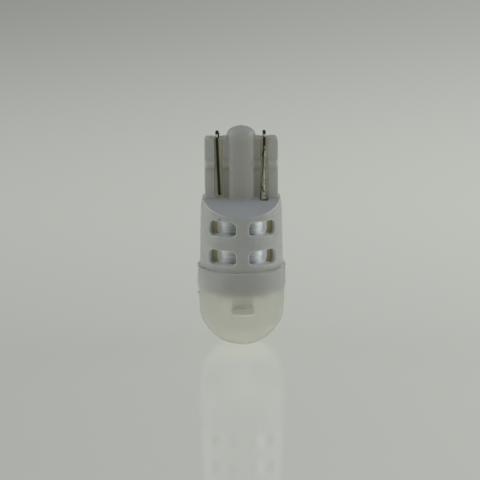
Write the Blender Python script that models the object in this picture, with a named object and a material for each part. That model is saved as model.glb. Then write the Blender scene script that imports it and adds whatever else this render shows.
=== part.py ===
"""Wedge base LED bulb, standing on the small flat of its frosted cap with the wedge blade up.

The frame has +Z up, +X along the blade's width and -Y towards the side where both contact wires show.
The origin is the centre of the cap's flat. All lengths are in metres.
"""

import math

import bmesh
import bpy
from mathutils import Matrix, Vector

# Cap: one frosted moulding, a dome with a skirt that sleeves over the housing's spigot
CAP_WALL = 0.0005
CAP_STEP_UNDER_SKIRT = 0.000175
CAP_FLAT_RADIUS = 0.00145
CAP_STRAIGHT = 0.00162
CAP_FLARE = 0.0010
LEDGE_BELOW_FLARE = 0.0004
SKIRT_HEIGHT = 0.00268
SKIRT_WALL = 0.0005
SKIRT_ROUNDING = 0.00015
SLOT_WIDTH = 0.00295
SLOT_HEIGHT = 0.00113
SLOT_DROP = 0.00025
SLOT_CORNER = 0.00035
GATE_RADIUS = 0.00019
GATE_RISE = 0.00014

# Housing: one white moulding of sleeve, shoulder, blade and pillar
BORE_RADIUS = 0.00395
SPIGOT_WALL = 0.001255
SLEEVE_STEP_OVER_SPIGOT = 0.000235
SLEEVE_TAPER = 0.00014
SLEEVE_HEIGHT = 0.0069
SLEEVE_ROUNDING = 0.00012
SHOULDER_SLOPE = math.radians(20.0)
SHOULDER_RISE = 0.00204
SHOULDER_SWELL = 0.00705
BORE_PAST_SLEEVE = 0.0001
TONGUE_WALL = 0.0007
HOOK_CHAMFER = 0.000175

# Wedge blade, to the usual 2.1 by 9.5 mm base
BLADE_WIDTH = 0.0095
BLADE_THICKNESS = 0.0021
BLADE_LENGTH = 0.0080
BLADE_CORNER = 0.0005
BLADE_EDGE = 0.00016
RIDGE_HEIGHT = 0.0016
RIDGE_RISE = 0.0003
RIDGE_FROM_END = 0.00275
GROOVE_WIDTH = 0.00104
GROOVE_DEPTH = 0.0003
POCKET_DEPTH = 0.0008
POCKET_CORNER = 0.00015
PILLAR_HALF_WIDTH = 0.00187
PILLAR_HALF_DEPTH = 0.00156
PILLAR_STRAIGHT_PAST_BLADE = 0.00025
PILLAR_DOME = 0.0012
PILLAR_DOME_SWING = 78.0
PILLAR_SQUARENESS = 0.9
PIP_RADIUS = 0.0002
PIP_RISE = 0.0001

# Windows: two rows of two, front and back, cut square to the bore
WINDOW_START = math.radians(9.0)
WINDOW_SWEEP = math.radians(45.0)
WINDOW_BAR = 0.00184
WINDOW_BELOW_ROOF = 0.0003
WINDOW_ABOVE_SKIRT = 0.0009
WINDOW_CORNER = 0.00075

# Heat core, and what stands on its two ends
CORE_WALL = 0.0005
CORE_FLOOR = 0.0012
CORE_CHAMFER = 0.00012
CORE_ABOVE_SPIGOT_RIM = 0.0006
PAD_THICKNESS = 0.0002
PAD_RIM = 0.0002
LED_BOARD_THICKNESS = 0.0008
LED_BOARD_RIM = 0.0001
CHIP_LENGTH = 0.0030
CHIP_WIDTH = 0.0014
CHIP_HEIGHT = 0.00075
CHIP_GAP = 0.0003
CHIP_FRAME = 0.000175
CHIP_RECESS = 0.00012
DRIVER_THICKNESS = 0.0006
DRIVER_HEADROOM = 0.0006

# Packages on the driver board: width along X, depth off the board, height along Z
RECTIFIER_SIZE = (0.0030, 0.0011, 0.0024)
REGULATOR_SIZE = (0.0026, 0.0010, 0.0013)
RESISTOR_SIZE = (0.00125, 0.0005, 0.0020)
CAPACITOR_SIZE = (0.00125, 0.00125, 0.0020)
PACKAGE_SPACING = 0.0004
PACKAGE_EDGE = 0.00008
TERMINAL_LENGTH = 0.0004
TERMINAL_PROUD = 0.00003
PIN_THICKNESS = 0.00015
PIN_WIDTH = 0.0004
PIN_REACH = 0.00045

# Wires
WIRE_RADIUS = 0.0002
WIRE_BEND_PAST_BLADE = 0.00011
WIRE_LAP = 0.0042
WIRE_INSIDE_CORE = 0.00023
LEFT_WIRE_OUTER_LEAN = 0.68
LEFT_WIRE_INNER_LEAN = 0.62
LEFT_WIRE_SHORT_OF_SHOULDER = 0.00045
RIGHT_WIRE_KINK = 0.00011
RIGHT_WIRE_KINK_FROM_END = 0.0021
RIGHT_WIRE_KINK_REACH = 0.00063
RIGHT_WIRE_LEG_SHIFT = 0.00007
RIGHT_WIRE_SOLDER_RADIUS = 0.00034
LEAD_RADIUS = 0.0002
LEAD_INSIDE_WIRE = 0.00107
LEAD_LAP = 0.0014
LEAD_TAIL = 0.00035
LEAD_SOLDER_RADIUS = 0.00042
LEAD_TIP_RADIUS = 0.00012

# Clearances
SLIDE_FIT = 0.00005
SEAT_GAP = 0.00002
SNAP_FIT = 0.00003
HOLE_FIT = 0.00005
POCKET_FIT = 0.00005

# Facets and merging
TURN_STEPS = 60
DISC_STEPS = 40
ARC_STEPS = 9
DOME_STEPS = 12
DOME_BORE_STEPS = 11
SLOT_CORNER_STEPS = 4
SHOULDER_STEPS = 24
RIDGE_STEPS = 6
CORNER_STEPS = 5
ROUNDING_STEPS = 3
PILLAR_SIDES = 32
PILLAR_DOME_STEPS = 6
HOLE_SIDES = 14
SMALL_ROUND_SIDES = 8
BEND_STEPS = 10
SOLDER_STEPS = 5
WELD = 1e-7
OVERCUT = 0.001

# Radii, from the bore outwards and inwards
SPIGOT_RADIUS = BORE_RADIUS + SPIGOT_WALL
SLEEVE_FOOT_RADIUS = SPIGOT_RADIUS + SLEEVE_STEP_OVER_SPIGOT
SLEEVE_TOP_RADIUS = SLEEVE_FOOT_RADIUS - SLEEVE_TAPER
SKIRT_BORE_RADIUS = SPIGOT_RADIUS + SLIDE_FIT
SKIRT_RADIUS = SKIRT_BORE_RADIUS + SKIRT_WALL
CAP_RADIUS = SKIRT_RADIUS - CAP_STEP_UNDER_SKIRT
CAP_BORE_RADIUS = CAP_RADIUS - CAP_WALL
CORE_RADIUS = BORE_RADIUS - SLIDE_FIT
CORE_BORE_RADIUS = CORE_RADIUS - CORE_WALL

# Levels, from the cap's flat upwards
CAP_CENTRE_Z = math.sqrt(CAP_RADIUS**2 - CAP_FLAT_RADIUS**2)
FLARE_FOOT_Z = CAP_CENTRE_Z + CAP_STRAIGHT
FLARE_TOP_Z = FLARE_FOOT_Z + CAP_FLARE
SKIRT_TOP_Z = FLARE_TOP_Z + SKIRT_HEIGHT
CAP_LEDGE_Z = FLARE_TOP_Z - LEDGE_BELOW_FLARE
SLEEVE_FOOT_Z = SKIRT_TOP_Z + SEAT_GAP
SLEEVE_TOP_Z = SLEEVE_FOOT_Z + SLEEVE_HEIGHT
CREST_Z = SLEEVE_TOP_Z + SHOULDER_RISE
BLADE_END_Z = CREST_Z + BLADE_LENGTH
BORE_ROOF_Z = SLEEVE_TOP_Z + BORE_PAST_SLEEVE
SPIGOT_RIM_Z = CAP_LEDGE_Z + SEAT_GAP
SLOT_TOP_Z = CAP_CENTRE_Z + SLOT_HEIGHT - SLOT_DROP
SLOT_FOOT_Z = SLOT_TOP_Z - SLOT_HEIGHT
WINDOW_HEIGHT = (BORE_ROOF_Z - SLEEVE_FOOT_Z - WINDOW_BELOW_ROOF - WINDOW_ABOVE_SKIRT - WINDOW_BAR) / 2
CORE_TOP_Z = BORE_ROOF_Z - SEAT_GAP
CORE_FOOT_Z = SPIGOT_RIM_Z + CORE_ABOVE_SPIGOT_RIM
CORE_FLOOR_Z = CORE_FOOT_Z + CORE_FLOOR
PAD_FOOT_Z = CORE_FOOT_Z - SEAT_GAP - PAD_THICKNESS
LED_BOARD_TOP_Z = PAD_FOOT_Z - SEAT_GAP
LED_BOARD_FOOT_Z = LED_BOARD_TOP_Z - LED_BOARD_THICKNESS
DRIVER_FOOT_Z = CORE_FLOOR_Z + SEAT_GAP
DRIVER_TOP_Z = CORE_TOP_Z - DRIVER_HEADROOM

# Places that follow from fits
GROOVE_OFFSET = CORE_BORE_RADIUS - WIRE_RADIUS - WIRE_INSIDE_CORE
LEAD_OFFSET = GROOVE_OFFSET - LEAD_INSIDE_WIRE
DRIVER_FRONT_Y = max(WIRE_RADIUS, LEAD_RADIUS) + SEAT_GAP
DRIVER_BACK_Y = DRIVER_FRONT_Y + DRIVER_THICKNESS
GROOVE_FLOOR_Y = BLADE_THICKNESS / 2 - GROOVE_DEPTH
WIRE_LEG_Y = -(GROOVE_FLOOR_Y + SEAT_GAP + WIRE_RADIUS)
POCKET_FRONT_Y = -(GROOVE_FLOOR_Y + SEAT_GAP + 2 * RIGHT_WIRE_SOLDER_RADIUS + POCKET_FIT)

WHITE_PLASTIC = ("white_plastic", (0.80, 0.81, 0.78), 0.42, 0.0)
FROSTED_PLASTIC = ("frosted_plastic", (0.86, 0.87, 0.80), 0.55, 0.0)
TURNED_ALUMINIUM = ("turned_aluminium", (0.80, 0.82, 0.83), 0.28, 1.0)
GREY_PAD = ("grey_pad", (0.45, 0.46, 0.47), 0.8, 0.0)
WHITE_BOARD = ("white_board", (0.86, 0.86, 0.84), 0.45, 0.0)
GREEN_BOARD = ("green_board", (0.05, 0.22, 0.10), 0.4, 0.0)
PHOSPHOR = ("phosphor", (0.85, 0.78, 0.30), 0.5, 0.0)
BLACK_PACKAGE = ("black_package", (0.03, 0.03, 0.03), 0.5, 0.0)
PALE_CERAMIC = ("pale_ceramic", (0.62, 0.55, 0.44), 0.5, 0.0)
TINNED_WIRE = ("tinned_wire", (0.66, 0.65, 0.62), 0.25, 1.0)


def material(look):
    """The Principled material for a look, made once and shared."""
    name, colour, roughness, metallic = look
    found = bpy.data.materials.get(name)
    if found:
        return found
    made = bpy.data.materials.new(name)
    made.use_nodes = True
    shader = made.node_tree.nodes["Principled BSDF"]
    shader.inputs["Base Color"].default_value = (*colour, 1.0)
    shader.inputs["Roughness"].default_value = roughness
    shader.inputs["Metallic"].default_value = metallic
    return made


def arc(centre, radius, start, end, steps=ARC_STEPS):
    """Points on an arc about a 2-D centre, from one angle in degrees to another, both ends included."""
    points = []
    for i in range(steps + 1):
        angle = math.radians(start + (end - start) * i / steps)
        points.append((centre[0] + radius * math.cos(angle), centre[1] + radius * math.sin(angle)))
    return points


def rounded_rectangle(width, height, corner, steps=CORNER_STEPS):
    """Outline about the origin, counter-clockwise, with four round corners."""
    x = width / 2 - corner
    z = height / 2 - corner
    outline = []
    for sign_x, sign_z, start in ((1, 1, 0), (-1, 1, 90), (-1, -1, 180), (1, -1, 270)):
        outline += arc((sign_x * x, sign_z * z), corner, start, start + 90, steps)
    return outline


def add_object(name, bm, look, smooth=True):
    """Turns a bmesh into a named object of one look."""
    bmesh.ops.remove_doubles(bm, verts=bm.verts, dist=WELD)
    bmesh.ops.recalc_face_normals(bm, faces=bm.faces)
    mesh = bpy.data.meshes.new(name)
    bm.to_mesh(mesh)
    bm.free()
    if smooth:
        mesh.shade_smooth()
        mesh.set_sharp_from_angle(angle=math.radians(30))
    made = bpy.data.objects.new(name, mesh)
    bpy.context.collection.objects.link(made)
    if look:
        mesh.materials.append(material(look))
    return made


def turned(name, profile, look=None, steps=TURN_STEPS):
    """Body of revolution about Z from an (r, z) outline with both ends on the axis."""
    bm = bmesh.new()
    verts = [bm.verts.new((r, 0.0, z)) for r, z in profile]
    edges = [bm.edges.new(pair) for pair in zip(verts, verts[1:])]
    bmesh.ops.spin(
        bm,
        geom=verts + edges,
        cent=(0.0, 0.0, 0.0),
        axis=(0.0, 0.0, 1.0),
        angle=math.tau,
        steps=steps,
        use_merge=True,
    )
    return add_object(name, bm, look)


def prism(name, outline, start, end, along="Y", look=None, smooth=False):
    """Straight solid of a 2-D outline: (x, z) swept along Y, (y, z) along X or (x, y) along Z."""
    place = {
        "X": lambda a, b, t: (t, a, b),
        "Y": lambda a, b, t: (a, t, b),
        "Z": lambda a, b, t: (a, b, t),
    }[along]
    bm = bmesh.new()
    face = bm.faces.new([bm.verts.new(place(a, b, start)) for a, b in outline])
    swept = bmesh.ops.extrude_face_region(bm, geom=[face])
    moved = [item for item in swept["geom"] if isinstance(item, bmesh.types.BMVert)]
    bmesh.ops.translate(bm, verts=moved, vec=place(0.0, 0.0, end - start))
    return add_object(name, bm, look, smooth)


def box(name, low, high, look=None):
    """Box between two corners."""
    outline = [(low[0], low[2]), (high[0], low[2]), (high[0], high[2]), (low[0], high[2])]
    return prism(name, outline, low[1], high[1], "Y", look)


def rod(name, x, y, radius, low, high, sides=SMALL_ROUND_SIDES, look=None):
    """Upright round rod."""
    outline = [(x + a, y + b) for a, b in arc((0.0, 0.0), radius, 0, 360, sides)[:-1]]
    return prism(name, outline, low, high, "Z", look)


def loft(name, rings, look=None):
    """Closed skin over a stack of rings with equal point counts, with a flat face at both ends."""
    bm = bmesh.new()
    loops = [[bm.verts.new(point) for point in ring] for ring in rings]
    for lower, upper in zip(loops, loops[1:]):
        for i in range(len(lower)):
            j = (i + 1) % len(lower)
            bm.faces.new((lower[i], lower[j], upper[j], upper[i]))
    bm.faces.new(loops[0])
    bm.faces.new(loops[-1])
    return add_object(name, bm, look)


def shape(target, operation, tool):
    """Applies a tool body to a target with a live Boolean, and hides the tool."""
    modifier = target.modifiers.new(tool.name, "BOOLEAN")
    modifier.operation = operation
    modifier.solver = "EXACT"
    modifier.object = tool
    tool.hide_render = True
    tool.display_type = "WIRE"
    return target


def cut(target, tool):
    return shape(target, "DIFFERENCE", tool)


def join(target, tool):
    return shape(target, "UNION", tool)


def round_edges(target, width, segments=2, angle=40):
    """Bevels a target's edges that are sharper than an angle."""
    bevel = target.modifiers.new("edges", "BEVEL")
    bevel.width = width
    bevel.segments = segments
    bevel.limit_method = "ANGLE"
    bevel.angle_limit = math.radians(angle)
    return target


def radial_cutters(name, outline, starts, levels, inner, outer, radius):
    """Blocks that cut windows square to a bore, each an outline of arc length and height at its own place."""
    bm = bmesh.new()
    for start in starts:
        for level in levels:
            rings = []
            for reach in (inner, outer):
                ring = []
                for length, height in outline:
                    angle = start + length / radius
                    x = reach * math.sin(angle)
                    y = -reach * math.cos(angle)
                    ring.append(bm.verts.new((x, y, level + height)))
                rings.append(ring)
            count = len(outline)
            for i in range(count):
                j = (i + 1) % count
                bm.faces.new((rings[0][i], rings[0][j], rings[1][j], rings[1][i]))
            bm.faces.new(rings[0])
            bm.faces.new(rings[1])
    bmesh.ops.triangulate(bm, faces=bm.faces)
    return add_object(name, bm, None, smooth=False)


def sector(name, profile, middle, half_angle, steps=4):
    """Solid of an (r, z) outline swept about Z through an angle each side of a middle direction."""
    rings = []
    for i in range(steps + 1):
        angle = middle + half_angle * (2 * i / steps - 1)
        rings.append([(r * math.sin(angle), -r * math.cos(angle), z) for r, z in profile])
    return loft(name, rings)


def add_cap():
    """Frosted dome and skirt, with a snap slot front and back and the stub of its moulding gate."""
    flat_angle = math.degrees(math.asin(CAP_FLAT_RADIUS / CAP_RADIUS))
    profile = [(0.0, 0.0)]
    profile += arc((0.0, CAP_CENTRE_Z), CAP_RADIUS, flat_angle - 90, 0, DOME_STEPS)
    profile += [(CAP_RADIUS, FLARE_FOOT_Z), (SKIRT_RADIUS, FLARE_TOP_Z)]
    rim = (SKIRT_RADIUS - SKIRT_ROUNDING, SKIRT_TOP_Z - SKIRT_ROUNDING)
    profile += arc(rim, SKIRT_ROUNDING, 0, 90, ROUNDING_STEPS)
    profile += [(SKIRT_BORE_RADIUS, SKIRT_TOP_Z), (SKIRT_BORE_RADIUS, CAP_LEDGE_Z)]
    profile += [(CAP_BORE_RADIUS, CAP_LEDGE_Z)]
    profile += arc((0.0, CAP_CENTRE_Z), CAP_BORE_RADIUS, 0, -90, DOME_BORE_STEPS)
    cap = turned("dome_cap", profile, FROSTED_PLASTIC)
    outline = rounded_rectangle(SLOT_WIDTH, SLOT_HEIGHT, SLOT_CORNER, SLOT_CORNER_STEPS)
    middle = (SLOT_FOOT_Z + SLOT_TOP_Z) / 2
    slot = prism(
        "cap_slot_cutter",
        [(x, z + middle) for x, z in outline],
        -SKIRT_RADIUS - OVERCUT,
        SKIRT_RADIUS + OVERCUT,
    )
    cut(cap, slot)
    gate_z = FLARE_FOOT_Z - GATE_RADIUS
    gate = prism(
        "cap_gate_stub",
        [(y, gate_z + z) for y, z in arc((0.0, 0.0), GATE_RADIUS, 0, 360, SMALL_ROUND_SIDES)[:-1]],
        -CAP_RADIUS - GATE_RISE,
        -CAP_RADIUS + CAP_WALL / 2,
        "X",
    )
    return join(cap, gate)


def sleeve_profile():
    """Half section of the housing's turned part: bore roof, bore, spigot, sleeve and oval shoulder."""
    profile = [(0.0, BORE_ROOF_Z), (BORE_RADIUS, BORE_ROOF_Z), (BORE_RADIUS, SPIGOT_RIM_Z)]
    profile += [(SPIGOT_RADIUS, SPIGOT_RIM_Z), (SPIGOT_RADIUS, SLEEVE_FOOT_Z)]
    foot = (SLEEVE_FOOT_RADIUS - SLEEVE_ROUNDING, SLEEVE_FOOT_Z + SLEEVE_ROUNDING)
    profile += arc(foot, SLEEVE_ROUNDING, -90, 0, ROUNDING_STEPS)
    for across, rise in arc((0.0, 0.0), 1.0, 0, 90, SHOULDER_STEPS):
        profile.append((SLEEVE_TOP_RADIUS * across, SLEEVE_TOP_Z + SHOULDER_SWELL * rise))
    return profile


def add_shoulder_roof():
    """Gable that the oval shoulder is trimmed to: two slopes that meet over the blade."""
    reach = SLEEVE_FOOT_RADIUS + OVERCUT
    slope = math.tan(SHOULDER_SLOPE)
    apex = CREST_Z + BLADE_THICKNESS / 2 * slope
    eaves = apex - reach * slope
    foot = SPIGOT_RIM_Z - OVERCUT
    outline = [(-reach, foot), (reach, foot), (reach, eaves), (0.0, apex), (-reach, eaves)]
    return prism("shoulder_roof", outline, -reach, reach, "X")


def add_blade():
    """Flat wedge blade with two round corners at its end, rooted in the solid shoulder."""
    root = (BORE_ROOF_Z + CREST_Z) / 2
    x = BLADE_WIDTH / 2
    outline = [(-x, root), (x, root)]
    outline += arc((x - BLADE_CORNER, BLADE_END_Z - BLADE_CORNER), BLADE_CORNER, 0, 90, CORNER_STEPS)
    outline += arc((-x + BLADE_CORNER, BLADE_END_Z - BLADE_CORNER), BLADE_CORNER, 90, 180, CORNER_STEPS)
    blade = prism("blade", outline, -BLADE_THICKNESS / 2, BLADE_THICKNESS / 2)
    return round_edges(blade, BLADE_EDGE, angle=60)


def add_ridge():
    """Bar across both faces of the blade that the socket's springs snap over."""
    y = BLADE_THICKNESS / 2
    top = BLADE_END_Z - RIDGE_FROM_END
    middle = top - RIDGE_HEIGHT / 2
    radius = (RIDGE_RISE**2 + (RIDGE_HEIGHT / 2) ** 2) / (2 * RIDGE_RISE)
    swing = math.degrees(math.asin(RIDGE_HEIGHT / 2 / radius))
    centre = y + RIDGE_RISE - radius
    outline = arc((centre, middle), radius, -swing, swing, RIDGE_STEPS)
    outline += [(-a, 2 * middle - b) for a, b in outline]
    x = BLADE_WIDTH / 2 - BLADE_EDGE
    return prism("blade_ridge", outline, -x, x, "X")


def add_pillar():
    """Rounded pillar up the middle of the blade, with a domed head and the pip of the mould's gate."""
    root = (BORE_ROOF_Z + CREST_Z) / 2
    dome_z = BLADE_END_Z + PILLAR_STRAIGHT_PAST_BLADE
    levels = [(root, 1.0)]
    for i in range(PILLAR_DOME_STEPS + 1):
        angle = math.radians(PILLAR_DOME_SWING * i / PILLAR_DOME_STEPS)
        levels.append((dome_z + PILLAR_DOME * math.sin(angle), math.cos(angle)))
    rings = []
    for level, share in levels:
        ring = []
        for i in range(PILLAR_SIDES):
            angle = math.tau * (i + 0.5) / PILLAR_SIDES
            across = math.copysign(abs(math.cos(angle)) ** PILLAR_SQUARENESS, math.cos(angle))
            deep = math.copysign(abs(math.sin(angle)) ** PILLAR_SQUARENESS, math.sin(angle))
            ring.append((share * PILLAR_HALF_WIDTH * across, share * PILLAR_HALF_DEPTH * deep, level))
        rings.append(ring)
    pillar = loft("pillar", rings)
    top = levels[-1][0]
    return join(pillar, rod("pillar_pip", 0.0, 0.0, PIP_RADIUS, top - PIP_RISE, top + PIP_RISE))


def add_tongue(side):
    """Snap tongue under the spigot, its hook caught under the slot's top. side 0 is the front, 1 the back."""
    inset = SLOT_CORNER * (1 - math.cos(math.radians(45))) + SNAP_FIT
    inner = CAP_BORE_RADIUS - SLIDE_FIT - TONGUE_WALL
    outer = CAP_BORE_RADIUS - SLIDE_FIT
    hook = CAP_RADIUS - SLIDE_FIT
    foot = SLOT_FOOT_Z + inset
    catch = SLOT_TOP_Z - inset
    root = SPIGOT_RIM_Z + TONGUE_WALL / 2
    profile = [(inner, root), (inner, foot), (hook - HOOK_CHAMFER, foot), (hook, foot + HOOK_CHAMFER)]
    profile += [(hook, catch), (outer, catch), (outer, root)]
    half_angle = math.asin((SLOT_WIDTH / 2 - inset) / hook)
    return sector(f"snap_tongue_{side}", profile, side * math.pi, half_angle)


def add_groove_cutters():
    """One cutter for the wire grooves: two up each face of the blade, open at its end."""
    low = CREST_Z + GROOVE_DEPTH / 2
    high = BLADE_END_Z + OVERCUT
    bm = bmesh.new()
    y = GROOVE_FLOOR_Y + OVERCUT / 2
    size = Matrix.Diagonal((GROOVE_WIDTH, OVERCUT, high - low, 1.0))
    for side_x in (-1, 1):
        for side_y in (-1, 1):
            centre = Vector((side_x * GROOVE_OFFSET, side_y * y, (low + high) / 2))
            bmesh.ops.create_cube(bm, size=1.0, matrix=Matrix.Translation(centre) @ size)
    return add_object("groove_cutters", bm, None, smooth=False)


def add_pocket_cutter():
    """Sunk pocket at the foot of the right groove, where that wire's tinned end is tucked in."""
    deep = -POCKET_FRONT_Y - GROOVE_FLOOR_Y
    outline = rounded_rectangle(GROOVE_WIDTH - SEAT_GAP, deep, POCKET_CORNER, ROUNDING_STEPS)
    middle = (POCKET_FRONT_Y - GROOVE_FLOOR_Y) / 2
    outline = [(GROOVE_OFFSET + x, middle + y) for x, y in outline]
    return prism("pocket_cutter", outline, CREST_Z - POCKET_DEPTH, CREST_Z + GROOVE_DEPTH, "Z")


def add_channel_cutters():
    """Two straight channels that carry the contact wires from the core through the blade to its end."""
    bm = bmesh.new()
    low = BORE_ROOF_Z - OVERCUT
    high = BLADE_END_Z + OVERCUT
    for side in (-1, 1):
        place = Matrix.Translation((side * GROOVE_OFFSET, 0.0, (low + high) / 2))
        radius = WIRE_RADIUS + HOLE_FIT
        bmesh.ops.create_cone(
            bm,
            cap_ends=True,
            segments=HOLE_SIDES,
            radius1=radius,
            radius2=radius,
            depth=high - low,
            matrix=place,
        )
    return add_object("channel_cutters", bm, None, smooth=False)


def add_window_cutters():
    """Eight window cutters: two rows of two at the front and the same at the back."""
    width = WINDOW_SWEEP * SLEEVE_TOP_RADIUS
    outline = rounded_rectangle(width, WINDOW_HEIGHT, min(WINDOW_CORNER, WINDOW_HEIGHT / 2 - SEAT_GAP))
    middle = WINDOW_START + WINDOW_SWEEP / 2
    starts = [turn + sign * middle for turn in (0.0, math.pi) for sign in (-1, 1)]
    upper = BORE_ROOF_Z - WINDOW_BELOW_ROOF - WINDOW_HEIGHT / 2
    levels = [upper, upper - WINDOW_HEIGHT - WINDOW_BAR]
    inner = CORE_BORE_RADIUS / 2
    outer = SLEEVE_FOOT_RADIUS + 2 * OVERCUT
    return radial_cutters("window_cutters", outline, starts, levels, inner, outer, SLEEVE_TOP_RADIUS)


def add_housing():
    """White moulding: spigot, windowed sleeve, sloped shoulder, wedge blade, pillar and snap tongues."""
    housing = turned("housing", sleeve_profile(), WHITE_PLASTIC)
    shape(housing, "INTERSECT", add_shoulder_roof())
    join(housing, add_blade())
    join(housing, add_ridge())
    join(housing, add_pillar())
    join(housing, add_tongue(0))
    join(housing, add_tongue(1))
    cut(housing, add_groove_cutters())
    cut(housing, add_channel_cutters())
    cut(housing, add_pocket_cutter())
    return cut(housing, add_window_cutters())


def lead_holes(name, radius, low, high):
    """Cutter for the two holes that the LED leads pass through."""
    bm = bmesh.new()
    for side in (-1, 1):
        place = Matrix.Translation((side * LEAD_OFFSET, 0.0, (low + high) / 2))
        bmesh.ops.create_cone(
            bm,
            cap_ends=True,
            segments=HOLE_SIDES,
            radius1=radius,
            radius2=radius,
            depth=high - low,
            matrix=place,
        )
    return add_object(name, bm, None, smooth=False)


def add_core():
    """Turned aluminium cup, open towards the blade, that takes the lamp's heat and shows in the windows."""
    profile = [(0.0, CORE_FLOOR_Z), (CORE_BORE_RADIUS, CORE_FLOOR_Z)]
    profile += [(CORE_BORE_RADIUS, CORE_TOP_Z), (CORE_RADIUS - CORE_CHAMFER, CORE_TOP_Z)]
    profile += [(CORE_RADIUS, CORE_TOP_Z - CORE_CHAMFER), (CORE_RADIUS, CORE_FOOT_Z + CORE_CHAMFER)]
    profile += [(CORE_RADIUS - CORE_CHAMFER, CORE_FOOT_Z), (0.0, CORE_FOOT_Z)]
    core = turned("heat_core", profile[::-1], TURNED_ALUMINIUM)
    hole = LEAD_RADIUS + 2 * HOLE_FIT
    return cut(core, lead_holes("core_lead_holes", hole, CORE_FOOT_Z - OVERCUT, CORE_FLOOR_Z + OVERCUT))


def add_disc(name, radius, low, high, look, hole_radius):
    """Round plate under the core, with the two lead holes through it."""
    disc = turned(name, [(0.0, low), (radius, low), (radius, high), (0.0, high)], look, DISC_STEPS)
    return cut(disc, lead_holes(f"{name}_lead_holes", hole_radius, low - OVERCUT, high + OVERCUT))


def add_chip(number, x, y, top):
    """Surface-mounted LED: a white frame with a sunk phosphor face, looking down into the cap."""
    low = (x - CHIP_LENGTH / 2, y - CHIP_WIDTH / 2, top - CHIP_HEIGHT)
    high = (x + CHIP_LENGTH / 2, y + CHIP_WIDTH / 2, top)
    chip = box(f"led_chip_{number}", low, high, PHOSPHOR)
    bm = bmesh.new()
    bm.from_mesh(chip.data)
    bm.faces.ensure_lookup_table()
    face = min(bm.faces, key=lambda f: f.calc_center_median().z)
    bmesh.ops.inset_region(bm, faces=[face], thickness=CHIP_FRAME)
    bmesh.ops.translate(bm, verts=face.verts, vec=(0.0, 0.0, CHIP_RECESS))
    bm.to_mesh(chip.data)
    bm.free()
    return chip


def add_led_stack():
    """Thermal pad, LED board and its four chips, in that order away from the core's foot."""
    hole = LEAD_RADIUS + HOLE_FIT
    add_disc("thermal_pad", CORE_RADIUS - PAD_RIM, PAD_FOOT_Z, PAD_FOOT_Z + PAD_THICKNESS, GREY_PAD, hole)
    board_radius = CORE_RADIUS - LED_BOARD_RIM
    add_disc("led_board", board_radius, LED_BOARD_FOOT_Z, LED_BOARD_TOP_Z, WHITE_BOARD, hole)
    x = (CHIP_LENGTH + CHIP_GAP) / 2
    y = CHIP_WIDTH / 2 + LEAD_SOLDER_RADIUS + SEAT_GAP
    places = [(-x, -y), (x, -y), (-x, y), (x, y)]
    for number, (chip_x, chip_y) in enumerate(places, start=1):
        add_chip(number, chip_x, chip_y, LED_BOARD_FOOT_Z - SEAT_GAP)


def add_driver_board():
    """Upright board in the core's bore, as wide as the bore lets its back edges go."""
    half = math.sqrt(CORE_BORE_RADIUS**2 - DRIVER_BACK_Y**2) - HOLE_FIT
    return box(
        "driver_board",
        (-half, DRIVER_FRONT_Y, DRIVER_FOOT_Z),
        (half, DRIVER_BACK_Y, DRIVER_TOP_Z),
        GREEN_BOARD,
    )


def package_box(name, size, x, z, side, look):
    """Body of a package on the driver board. side -1 is the board's front, 1 its back."""
    face = DRIVER_FRONT_Y - SEAT_GAP if side < 0 else DRIVER_BACK_Y + SEAT_GAP
    far = face + side * size[1]
    low = (x - size[0] / 2, min(face, far), z - size[2] / 2)
    high = (x + size[0] / 2, max(face, far), z + size[2] / 2)
    return box(name, low, high, look)


def add_legged_package(name, size, z, pins):
    """Moulded package on the board's front, with flat pins from its upper and lower sides."""
    body = package_box(name, size, 0.0, z, -1, BLACK_PACKAGE)
    round_edges(body, PACKAGE_EDGE, segments=1)
    face = DRIVER_FRONT_Y - SEAT_GAP
    for side, count in zip((-1, 1), pins):
        for i in range(count):
            x = (i - (count - 1) / 2) * size[0] / 2
            near = z + side * (size[2] / 2 - PIN_THICKNESS)
            far = z + side * (size[2] / 2 + PIN_REACH)
            low = (x - PIN_WIDTH / 2, face - PIN_THICKNESS, min(near, far))
            high = (x + PIN_WIDTH / 2, face, max(near, far))
            join(body, box(f"{name}_pin_{side}_{i}", low, high))
    return body


def add_chip_part(name, size, x, z, look):
    """Two-terminal chip part on the board's back: its end caps stand a little proud of its body."""
    body = package_box(name, size, x, z, 1, look)
    end = (size[0] + 2 * TERMINAL_PROUD, size[1] + TERMINAL_PROUD, TERMINAL_LENGTH)
    for side in (-1, 1):
        end_z = z + side * (size[2] / 2 + TERMINAL_PROUD - TERMINAL_LENGTH / 2)
        join(body, package_box(f"{name}_end_{side}", end, x, end_z, 1, look))
    return body


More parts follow.
